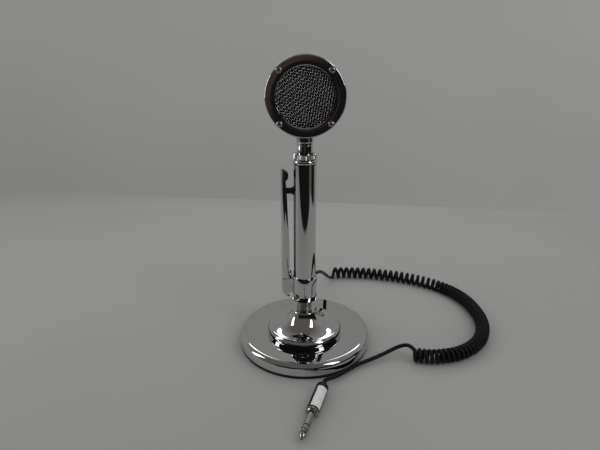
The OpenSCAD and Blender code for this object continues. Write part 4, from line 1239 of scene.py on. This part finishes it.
@dataclass
class GripBar:
    """The bar that is squeezed to talk, with its bumper, and the plunger that it pushes."""

    wardrobe: Wardrobe
    outer_x: float = GRIP_X
    width: float = GRIP_WIDTH
    edge: float = 4.7
    wall: float = 1.2
    foot_z: float = 76.0
    top_z: float = 190.7
    deep: float = 8.2
    thin: float = 4.2
    pivot: Pair = PIVOT
    pivot_r: float = 1.56
    tongue_r: float = 3.5
    tongue_w: float = 7.5
    bumper: Pair = (-20.8, 182.8)
    bumper_r: float = 5.0
    bumper_top: float = 187.3
    plunger_z: float = PLUNGER_Z

    def side(self) -> list[Pair]:
        """The bar from the side, deep at its foot and rounded at its top."""
        x, top, r = self.outer_x, self.top_z, self.thin / 2
        dome = arc((x + r, top - r), r, 0, 180, 12)
        mid = (x + (self.deep + self.thin) / 2 - 0.2, self.plunger_z - 3.0)
        return [(x, self.foot_z), (x + self.deep, self.foot_z), (x + self.deep, self.foot_z + 28.1), mid, *dome]

    def shell(self) -> Piece:
        """The plated channel, with the tongue that turns on the pin."""
        bar = Bench.prism("grip_bar_body", self.side(), self.width)
        Bench.cut(bar, self.round_back(0.0, self.foot_z - 1.0, self.top_z + 1.0), Cut.COMMON)
        Bench.soften(bar, 0.35, 3, 60.0)
        Bench.cut(bar, self.round_back(self.wall, self.foot_z + 6.0, self.top_z - 3.4), Cut.AWAY)
        side, top = self.outer_x + 2.2, self.foot_z + 3.0
        tongue = Bench.prism("tongue", [
            (side, top), (side, self.pivot[1]), *arc(self.pivot, self.tongue_r, 180, 360, 16),
            (self.pivot[0] + 1.0, top)], self.tongue_w)
        Bench.cut(bar, tongue, Cut.JOINED)
        Bench.drill(bar, mm(self.pivot[0], -8.0, self.pivot[1]), -FORWARD, self.pivot_r, 16.0)
        return self.wardrobe.dress(bar, Body.GRIP, "chrome_plate", "grip_bar", angle=30.0)

    def round_back(self, inset: float, low: float, high: float) -> Piece:
        """An upright bar with the grip's round back, as a tool.

        Args:
            inset: How far it lies inside the grip's outer faces, in millimetres.
            low: The height of its foot.
            high: The height of its top.

        Returns:
            The closed piece.
        """
        edge, half = self.edge - inset, self.width / 2 - inset
        back = self.outer_x + inset
        left = arc((back + edge, half - edge), edge, 90, 180, 12)
        right = arc((back + edge, edge - half), edge, 180, 270, 12)
        far = self.outer_x + 20.0
        outline = [(far, half), *left, *right, (far, -half)]
        return Bench.pulled("round_back", [mm(x, y, low) for x, y in outline], mm(0, 0, high - low))

    def stop(self) -> Piece:
        """The rubber bumper near the bar's top."""
        z, r = self.bumper[1], self.bumper_r
        back = self.outer_x + self.wall + 0.05
        cut = math.degrees(math.asin((self.bumper_top - z) / r))
        outline = [(back, z - r), *arc(self.bumper, r, -90, cut, 20), (back, self.bumper_top)]
        piece = Bench.prism("bar_bumper_block", outline, self.width - 2 * self.wall - 0.1)
        Bench.cut(piece, self.round_back(self.wall + 0.05, z - 9.0, z + 9.0), Cut.COMMON)
        Bench.soften(piece, 0.5, 3, 50.0)
        return self.wardrobe.dress(piece, Body.GRIP, "soft_rubber", "bar_bumper")

    def push_rod(self) -> Piece:
        """The plunger between the bar and the switch."""
        low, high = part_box("switch_plunger")
        start, end = low.x / MM, high.x / MM
        outline = [(0, start), (2.6, start), (3.0, start + 0.4), (3.0, end - 1.0), (3.9, end - 1.0),
                   (3.9, end - 0.4), (2.0, end - 0.4), (2.0, end), (0, end)]
        piece = Bench.turned("plunger_rod", outline, mm(0, 0, self.plunger_z), RIGHT, 48)
        return self.wardrobe.dress(piece, Body.PLUNGER, "black_plastic", "switch_plunger")

    def build(self) -> None:
        """Makes the grip's pieces."""
        self.shell()
        self.stop()
        self.push_rod()


@dataclass
class LockRing:
    """The knurled ring that clamps the head."""

    wardrobe: Wardrobe
    radius: float = 11.45
    low: float = 199.7
    high: float = 204.8
    lip: float = 7.74
    thread: float = 9.06
    knurls: int = 40
    rows: int = 6
    depth: float = 0.35

    def build(self) -> None:
        """Turns the ring, then sinks the valleys between the knurl's points."""
        first, last = self.low + 0.55, self.high - 0.55
        heights = [first + (last - first) * i / self.rows for i in range(self.rows + 1)]
        outline = [(self.thread, self.low), (self.radius - 0.6, self.low), (self.radius - 0.2, self.low + 0.3),
                   *[(self.radius, z) for z in heights], (self.radius - 0.2, self.high - 0.3),
                   (self.radius - 0.7, self.high), (self.lip, self.high), (self.lip, self.low + 3.75),
                   (self.thread, self.low + 3.75), (self.thread, self.low)]
        steps = 4 * self.knurls
        ring = Bench.turned("lock_ring_body", outline, Vector(), UP, steps)
        rim = (self.radius - 0.01) * MM

        def valley(p: Vector) -> bool:
            """Whether a point lies in a valley of the diamond pattern."""
            if math.hypot(p.x, p.y) < rim:
                return False
            column = round(math.atan2(p.y, p.x) / FULL_TURN * steps)
            row = round((p.z / MM - first) / (last - first) * self.rows)
            return (column + 2 * row) % 4 == 0

        Bench.open(ring)
        Bench.pick(ring, Part.POINTS, valley)
        share = 1.0 - self.depth / self.radius
        bpy.ops.transform.resize(value=(share, share, 1.0), center_override=(0.0, 0.0, 0.0))
        Bench.clear()
        self.wardrobe.dress(ring, Body.LOCK, "chrome_plate", "lock_ring", angle=12.0)


@dataclass
class Head:
    """The round head: neck, case, face ring with its screws, woven grille and cloth."""

    wardrobe: Wardrobe
    centre_z: float = 256.8
    case_r: float = 35.4
    case_front: float = 8.8
    case_back: float = -12.6
    case_edge: float = 5.0
    case_wall: float = 1.2
    ring_r: float = 36.3
    ring_out: float = 13.0
    ring_edge: float = 1.5
    opening_r: float = 26.9
    rebate_r: float = 30.5
    screw_ring: float = 32.8
    screw_r: float = 3.0
    wire_pitch: float = 2.35
    wire_r: float = 0.42
    wire_wave: float = 0.44
    wire_turn: float = -9.0
    wire_reach: float = 28.14
    wire_out: float = 9.9
    wire_sides: int = 8
    wire_parts: int = 4
    bulge: float = 1.6
    cloth_bulge: float = 0.35
    neck_r: float = 7.65
    flange_z: float = 214.6
    steps: int = 160

    def centre(self) -> Vector:
        """The middle of the head."""
        return mm(0, 0, self.centre_z)

    def case(self) -> Piece:
        """The plated cup behind the face."""
        r, back, edge, wall = self.case_r, self.case_back, self.case_edge, self.case_wall
        outline = [(0.0, back), (10.0, back), (24.0, back), *arc((r - edge, back + edge), edge, -90, 0, 12),
                   (r, 0.0), (r, self.case_front), (r - wall, self.case_front), (r - wall, 0.0),
                   *reversed(arc((r - edge, back + edge), edge - wall, -90, 0, 8)), (0.0, back + wall)]
        case = Bench.turned("head_cup", outline, self.centre(), FORWARD, self.steps)
        return self.wardrobe.dress(case, Body.HEAD, "chrome_plate", "head_case")

    def face(self) -> Piece:
        """The ring that holds the grille, bored for its four screws."""
        out, edge = self.ring_out, self.ring_edge
        outline = [(self.opening_r, 11.0), (self.opening_r, 12.1), (self.opening_r + 0.1, 12.3),
                   (self.opening_r + 0.4, 12.45), (self.opening_r + 2.3, 12.93), (self.opening_r + 2.8, out),
                   (31.0, out), *arc((self.ring_r - edge, out - edge), edge, 90, 0, 12), (self.ring_r, 8.85),
                   (self.rebate_r, 8.85), (self.rebate_r, 11.0), (self.opening_r, 11.0)]
        ring = Bench.turned("face_ring_body", outline, self.centre(), FORWARD, self.steps)
        for place in self.screw_places():
            Bench.drill(ring, place, FORWARD, 1.35, 20.0, 32)
        return self.wardrobe.dress(ring, Body.HEAD, "chrome_plate", "face_ring")

    def screw_places(self) -> list[Vector]:
        """Where the four screws stand on the diagonals, at the level of the stem's axis."""
        reach = self.screw_ring * math.sqrt(0.5)
        return [self.centre() + mm(x * reach, 0, z * reach) for x in (-1, 1) for z in (-1, 1)]

    def screws(self) -> Piece:
        """The four round-headed screws, each with its slot."""
        made = []
        for place, slot_turn in zip(self.screw_places(), (20.0, 75.0, -40.0, 110.0)):
            dome = arc((0.0, self.ring_out - 2.05), 3.7, 35.8, 90, 9)
            outline = [(0.0, 3.0), (1.2, 3.0), (1.2, self.ring_out), (self.screw_r, self.ring_out + 0.05), *dome]
            screw = Bench.turned("face_ring_screws", outline, place, FORWARD, 32)
            along = Vector((math.cos(math.radians(slot_turn)), 0.0, math.sin(math.radians(slot_turn))))
            start = place + FORWARD * ((self.ring_out + 1.75) * MM) - along * (4.0 * MM)
            made.append(Bench.drill(screw, start, along, 0.5, 8.0, 4))
        screws = Bench.joined(made)
        self.wardrobe.dress(screws, Body.HEAD, "chrome_plate", "face_screws")
        # Painted shade: the screws wear a darker copy of the chrome, which dims their highlights.
        self.wardrobe.wear(screws, "painted_shade_chrome")
        return screws

    def long_wire(self) -> Piece:
        """One waved wire along Z through the head's middle, pulled out step by step."""
        reach = math.ceil(self.wire_reach / self.wire_pitch) + 1
        step = self.wire_pitch / self.wire_parts
        start = -reach * self.wire_pitch
        Bench.clear()
        bpy.ops.mesh.primitive_circle_add(vertices=self.wire_sides, radius=self.wire_r * MM, fill_type="NGON",
                                          location=mm(0, self.wave(start), start))
        wire = Bench.named("long_wire")
        bpy.ops.object.mode_set(mode="EDIT")
        bpy.ops.mesh.select_all(action="SELECT")
        for i in range(2 * reach * self.wire_parts):
            here, there = start + i * step, start + (i + 1) * step
            move = mm(0, self.wave(there) - self.wave(here), step)
            bpy.ops.mesh.extrude_region_move(TRANSFORM_OT_translate={"value": move})
        Bench.close()
        return wire

    def wave(self, along: float) -> float:
        """How far a wire stands out of the weave's plane, which it crosses between two others."""
        return -self.wire_wave * math.cos(math.pi * along / self.wire_pitch)

    def grille(self) -> Piece:
        """The woven grille: copies of one wire, cut to length, crossed, turned and domed."""
        wire = self.long_wire()
        count = math.floor((self.wire_reach - 1.5) / self.wire_pitch)
        wires = []
        for i in range(-count, count + 1):
            u = i * self.wire_pitch
            half = math.sqrt(self.wire_reach ** 2 - u * u) * MM
            for crossed in (False, True):
                over = 1.0 if (i % 2 == 0) != crossed else -1.0
                place = Matrix.Translation(mm(u, 0, 0)) @ Matrix.Scale(over, 4, FORWARD)
                if crossed:
                    place = Matrix.Rotation(math.radians(90.0), 4, "Y") @ place
                twin = Bench.copied(wire, "grille_mesh", place)
                way = RIGHT if crossed else UP
                Bench.open(twin)
                for side in (1.0, -1.0):
                    bpy.ops.mesh.select_all(action="SELECT")
                    bpy.ops.mesh.bisect(plane_co=way * (half * side), plane_no=way * side, use_fill=True,
                                        clear_outer=True)
                Bench.close()
                wires.append(twin)
        bpy.data.objects.remove(wire)
        grille = Bench.joined(wires)
        turn = Matrix.Rotation(math.radians(-self.wire_turn), 4, "Y")
        grille.data.transform(Matrix.Translation(self.centre() + FORWARD * (self.wire_out * MM)) @ turn)
        self.dome(grille, self.bulge, self.wire_reach)
        return self.wardrobe.dress(grille, Body.HEAD, "grille_steel", "woven_grille", angle=60.0)

    def dome(self, piece: Piece, bulge: float, radius: float) -> None:
        """Moves a flat piece's points forward, by the bulge in the middle and not at all at the radius."""
        middle = self.centre()
        for vert in piece.data.vertices:
            off = math.hypot(vert.co.x - middle.x, vert.co.z - middle.z) / (radius * MM)
            vert.co.y -= bulge * MM * max(0.0, 1.0 - off * off)
        piece.data.update()

    def cloth(self) -> Piece:
        """The black cloth that lies behind the grille and follows its dome."""
        low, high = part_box("grille_cloth")
        radius, front, back = high.x / MM, -low.y / MM, -high.y / MM
        rings = 10
        outline = [(radius * i / rings, back) for i in range(rings + 1)]
        outline += [(radius * i / rings, front) for i in range(rings, -1, -1)]
        cloth = Bench.turned("grille_backing", outline, self.centre(), FORWARD, 96)
        self.dome(cloth, self.cloth_bulge, radius)
        return self.wardrobe.dress(cloth, Body.HEAD, "black_cloth", "grille_cloth")

    def neck(self) -> Piece:
        """The neck: sleeve with its groove and the flange that is saddled to the case."""
        flange, r = self.flange_z, self.neck_r
        outline = [(3.6, 195.4), (r - 0.3, 195.4), (r, 195.7), (r, 203.0), (r, 212.1), (r - 0.4, 212.2),
                   (r - 0.4, 212.6), (r, 212.7), (r, flange), *arc((6.9, flange + 1.6), 1.6, -80, 0, 8),
                   (8.5, 220.0), (8.5, 223.8), (4.8, 223.8), (4.8, 226.3), (3.6, 226.3), (3.6, 195.4)]
        neck = Bench.turned("head_neck_body", outline, Vector(), UP, 96)
        Bench.drill(neck, self.centre() - FORWARD * (30.0 * MM), FORWARD, self.case_r + 0.05, 60.0, self.steps)
        Bench.soften(neck, 0.12, 2, 50.0)
        return self.wardrobe.dress(neck, Body.HEAD, "chrome_plate", "head_neck")

    def build(self) -> None:
        """Makes the head's pieces."""
        self.neck()
        self.case()
        self.face()
        self.screws()
        self.grille()
        self.cloth()


@dataclass
class Lamp:
    """A soft rectangular lamp that shines at the microphone."""

    name: str
    azimuth: float
    elevation: float
    power: float
    size: Pair = (150.0, 320.0)
    distance: float = 720.0

    def build(self) -> None:
        """Hangs the lamp. Azimuth 0 is in front of the face and 90 on its +X side."""
        level = math.cos(math.radians(self.elevation))
        a = math.radians(self.azimuth)
        way = Vector((math.sin(a) * level, -math.cos(a) * level, math.sin(math.radians(self.elevation))))
        data = bpy.data.lights.new(self.name, "AREA")
        data.shape = "RECTANGLE"
        data.size = self.size[0] * MM
        data.size_y = self.size[1] * MM
        data.energy = self.power
        lamp = added(self.name, data)
        lamp.location = way * (self.distance * MM)
        lamp.rotation_euler = way.to_track_quat("Z", "Y").to_euler()
        lamp.visible_camera = False


@dataclass
class Stage:
    """The table, the wall behind it, and the light of the room."""

    table: Triple = (0.295, 0.293, 0.285)
    wall: Triple = (0.254, 0.254, 0.250)
    room: Triple = (0.262, 0.262, 0.256)
    dusk: Triple = (0.112, 0.104, 0.097)
    night: Triple = (0.009, 0.008, 0.008)
    shade: Triple = (0.10, 0.095, 0.075)
    warm: Triple = (0.052, 0.031, 0.028)
    daylight: float = 0.9
    table_front: float = -318.0
    table_right: float = 450.0
    table_back: tuple[Pair, Pair] = ((-624.0, 571.0), (560.0, 392.0))
    table_half: float = 2600.0
    table_reach: float = -1250.0
    wall_y: float = 760.0
    wall_top: float = 400.0
    wall_foot: float = -900.0
    mottle: Pair = (0.98, 1.02)
    roughness: float = 0.6
    specular: float = 0.15
    # The painted light on the table and the wall: darker at their left than at their right, the table darker
    # towards its front and the wall darker towards its foot.
    view_ends: Pair = (-0.72, 0.76)
    table_side_light: Pair = (0.95, 1.03)
    table_light_slope: tuple[Pair, Pair] = ((-0.35, 0.45), (0.73, 1.08))
    wall_side_light: Pair = (0.92, 1.09)
    wall_light_slope: tuple[Pair, Pair] = ((-0.037, 0.339), (0.92, 1.07))
    edge_blur: Pair = (0.03, 0.04)
    corner_slants: tuple[Pair, Pair] = ((0.78, 0.95), (1.9, 2.1))
    front_way: Triple = (0.39, -0.92, 0.0)
    front_reach: Pair = (0.2, 0.33)
    front_top: Pair = (0.3, 0.42)
    dusk_way: Triple = (-0.27, -0.73, 0.63)
    dusk_reach: Pair = (0.0, 0.6)
    warm_way: Triple = (-0.707, 0.0, 0.707)
    warm_reach: Pair = (-0.095, -0.03)
    warm_top: Pair = (0.05, 0.2)
    warm_left: Pair = (-0.3, -0.15)
    second_bounce: Pair = (1.4, 1.6)
    lamps: list[Lamp] = field(default_factory=lambda: [
        Lamp("lamp_left", -89.0, 29.0, 0.6, (160.0, 420.0)),
        Lamp("lamp_right", 51.0, 42.0, 0.6, (160.0, 420.0)),
        Lamp("lamp_back_left", -160.0, 43.5, 0.145, (230.0, 80.0)),
        Lamp("lamp_back_right", 155.0, 44.0, 0.176, (280.0, 80.0)),
    ])

    def plain(self, name: str, colour: Triple, across: Pair, along: str,
              reach: tuple[Pair, Pair]) -> tuple[Material, Wiring, Socket, Node]:
        """A plain matt stage material with a faint mottle and a painted slope of light and shade.

        Args:
            name: The material's name.
            colour: Its colour.
            across: How much the painted light brightens it at the left and at the right end.
            along: The other axis along which it changes.
            reach: The places along that axis and the painted light level there.

        Returns:
            The material, its wiring, its colour with the painted light, and its shader.
        """
        material = bpy.data.materials.new(name)
        w = Wiring.afresh(material)
        place = w.place()
        axes = w.axes(place)
        mottle = w.span(w.noise(place, 3.0, 3.0), 0.3, 0.7, self.mottle)
        # Painted light: the mottled colour is made darker or brighter along X and along the other axis, as light
        # falls off.
        level = w.times(mottle, w.span(axes["X"], *self.view_ends, across))
        level = w.times(level, w.span(axes[along], *reach[0], reach[1]))
        mottle_and_painted_light = w.put("ShaderNodeCombineColor", {0: level, 1: level, 2: level})
        colour_with_painted_light = w.mix(1.0, (*colour, 1.0), mottle_and_painted_light.outputs[0], "MULTIPLY")
        shader = w.put("ShaderNodeBsdfPrincipled", {"Base Color": colour_with_painted_light, "Roughness": self.roughness,
                                                    "Specular IOR Level": self.specular})
        return material, w, colour_with_painted_light, shader

    def close(self, w: Wiring, share: Socket, near: Node, far: Node) -> None:
        """Ends a material with a mix of two shaders."""
        choice = w.put("ShaderNodeMixShader", {0: share, 1: near.outputs[0], 2: far.outputs[0]})
        w.link(choice.outputs[0], w.put("ShaderNodeOutputMaterial").inputs[0])

    def card(self, name: str, corners: Sequence[Vector], material: Material) -> None:
        """A flat face of the stage."""
        card = Bench.filled(name, corners)
        Bench.clear()
        card.data.materials.append(material)

    def floor(self) -> None:
        """The table top. In reflections it ends at its front and right edges, with the dark room beyond."""
        (x0, y0), (x1, y1) = self.table_back
        slope = (y1 - y0) / (x1 - x0)
        half = self.table_half
        corners = [mm(-half, self.table_reach, 0), mm(half, self.table_reach, 0),
                   mm(half, y0 + slope * (half - x0), 0), mm(-half, y0 + slope * (-half - x0), 0)]
        # The table top's colour carries the painted light slope.
        material, w, _, shader = self.plain("table_finish", self.table, self.table_side_light, "Y", self.table_light_slope)
        place = w.axes(w.place())
        front, right = self.table_front * MM, self.table_right * MM
        beyond = w.span(place["Y"], front - self.edge_blur[0], front, FALLING)
        aside = w.times(w.span(place["X"], right, right + self.edge_blur[1]),
                        w.span(place["Y"], 0.0, 0.25, FALLING))
        seen = w.put("ShaderNodeLightPath").outputs["Is Glossy Ray"]
        ahead = w.sum("MAXIMUM", w.times(place["Y"], -1.0), 0.01)
        slant = w.sum("DIVIDE", place["X"], ahead)
        near, far = self.corner_slants
        corner = w.times(w.span(slant, *near), w.span(slant, *far, FALLING))
        gloom = w.mix(corner, (*self.night, 1.0), (*self.shade, 1.0))
        dark = w.put("ShaderNodeEmission", {"Color": gloom, "Strength": 1.0})
        self.close(w, w.times(w.sum("MAXIMUM", beyond, aside), seen), shader, dark)
        self.card("table_top", corners, material)

    def backdrop(self) -> None:
        """The wall beyond the table, as bright as the photo shows it and a little darker in reflections."""
        half = self.table_half
        low, high = self.wall_foot, self.wall_top
        corners = [mm(x, self.wall_y, z) for x, z in ((-half, low), (half, low), (half, high), (-half, high))]
        material, w, colour, shader = self.plain("wall_finish", self.wall, self.wall_side_light, "Z", self.wall_light_slope)
        path = w.put("ShaderNodeLightPath").outputs
        shiny = w.mix(path["Is Glossy Ray"], colour, (*self.room, 1.0))
        # Painted light: to camera rays the wall glows with its colour and painted slope, to glossy rays with the
        # room's colour, instead of being lit.
        glow = w.put("ShaderNodeEmission", {"Color": shiny, "Strength": 1.0})
        seen = w.sum("MAXIMUM", path["Is Camera Ray"], path["Is Glossy Ray"])
        self.close(w, seen, shader, glow)
        self.card("wall", corners, material)

    def air(self) -> None:
        """The light all round: plain for matt surfaces, and a room with dark parts for shiny ones."""
        world = bpy.data.worlds.new("room")
        bpy.context.scene.world = world
        w = Wiring.afresh(world)
        place = w.place()
        way = w.axes(place)

        def toward(direction: Triple) -> Socket:
            """How much a ray points in a direction."""
            node = w.put("ShaderNodeVectorMath", {0: place, 1: direction}, operation="DOT_PRODUCT")
            return node.outputs["Value"]

        night = (*self.night, 1.0)
        shiny = w.mix(w.span(toward(self.dusk_way), *self.dusk_reach), (*self.room, 1.0), (*self.dusk, 1.0))
        ahead = w.times(w.span(toward(self.front_way), *self.front_reach),
                        w.span(way["Z"], *self.front_top, FALLING))
        glow = w.times(w.span(toward(self.warm_way), *self.warm_reach),
                       w.span(way["Z"], *self.warm_top, FALLING))
        glow = w.times(glow, w.span(way["X"], *self.warm_left))
        shiny = w.mix(ahead, shiny, w.mix(glow, night, (*self.warm, 1.0)))
        path = w.put("ShaderNodeLightPath").outputs
        shiny = w.mix(w.span(path["Glossy Depth"], *self.second_bounce), shiny, night)
        matt = (self.daylight, self.daylight, self.daylight, 1.0)
        colour = w.mix(path["Is Glossy Ray"], matt, shiny)
        colour = w.mix(path["Is Camera Ray"], colour, (*self.wall, 1.0))
        ground = w.put("ShaderNodeBackground", {"Color": colour, "Strength": 1.0})
        w.link(ground.outputs[0], w.put("ShaderNodeOutputWorld").inputs[0])

    def build(self) -> None:
        """Sets the stage."""
        self.floor()
        self.backdrop()
        self.air()
        for lamp in self.lamps:
            lamp.build()


def main() -> None:
    """Builds the scene: the camera, the cord, the pieces and the stage."""
    logging.basicConfig(level=logging.INFO, format="%(message)s")
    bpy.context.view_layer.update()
    bpy.context.scene.view_settings.view_transform = "Standard"
    Camera().build()
    wardrobe = Wardrobe()
    cord = Cord(wardrobe)
    curve = cord.build()
    plug = Plug(wardrobe).build()
    for assembly in (Base(wardrobe), Stem(wardrobe), GripBar(wardrobe), LockRing(wardrobe), Head(wardrobe)):
        log.info("building %s", type(assembly).__name__)
        assembly.build()
    wardrobe.dress_inner()
    Stage().build()


if __name__ == "__main__":
    main()
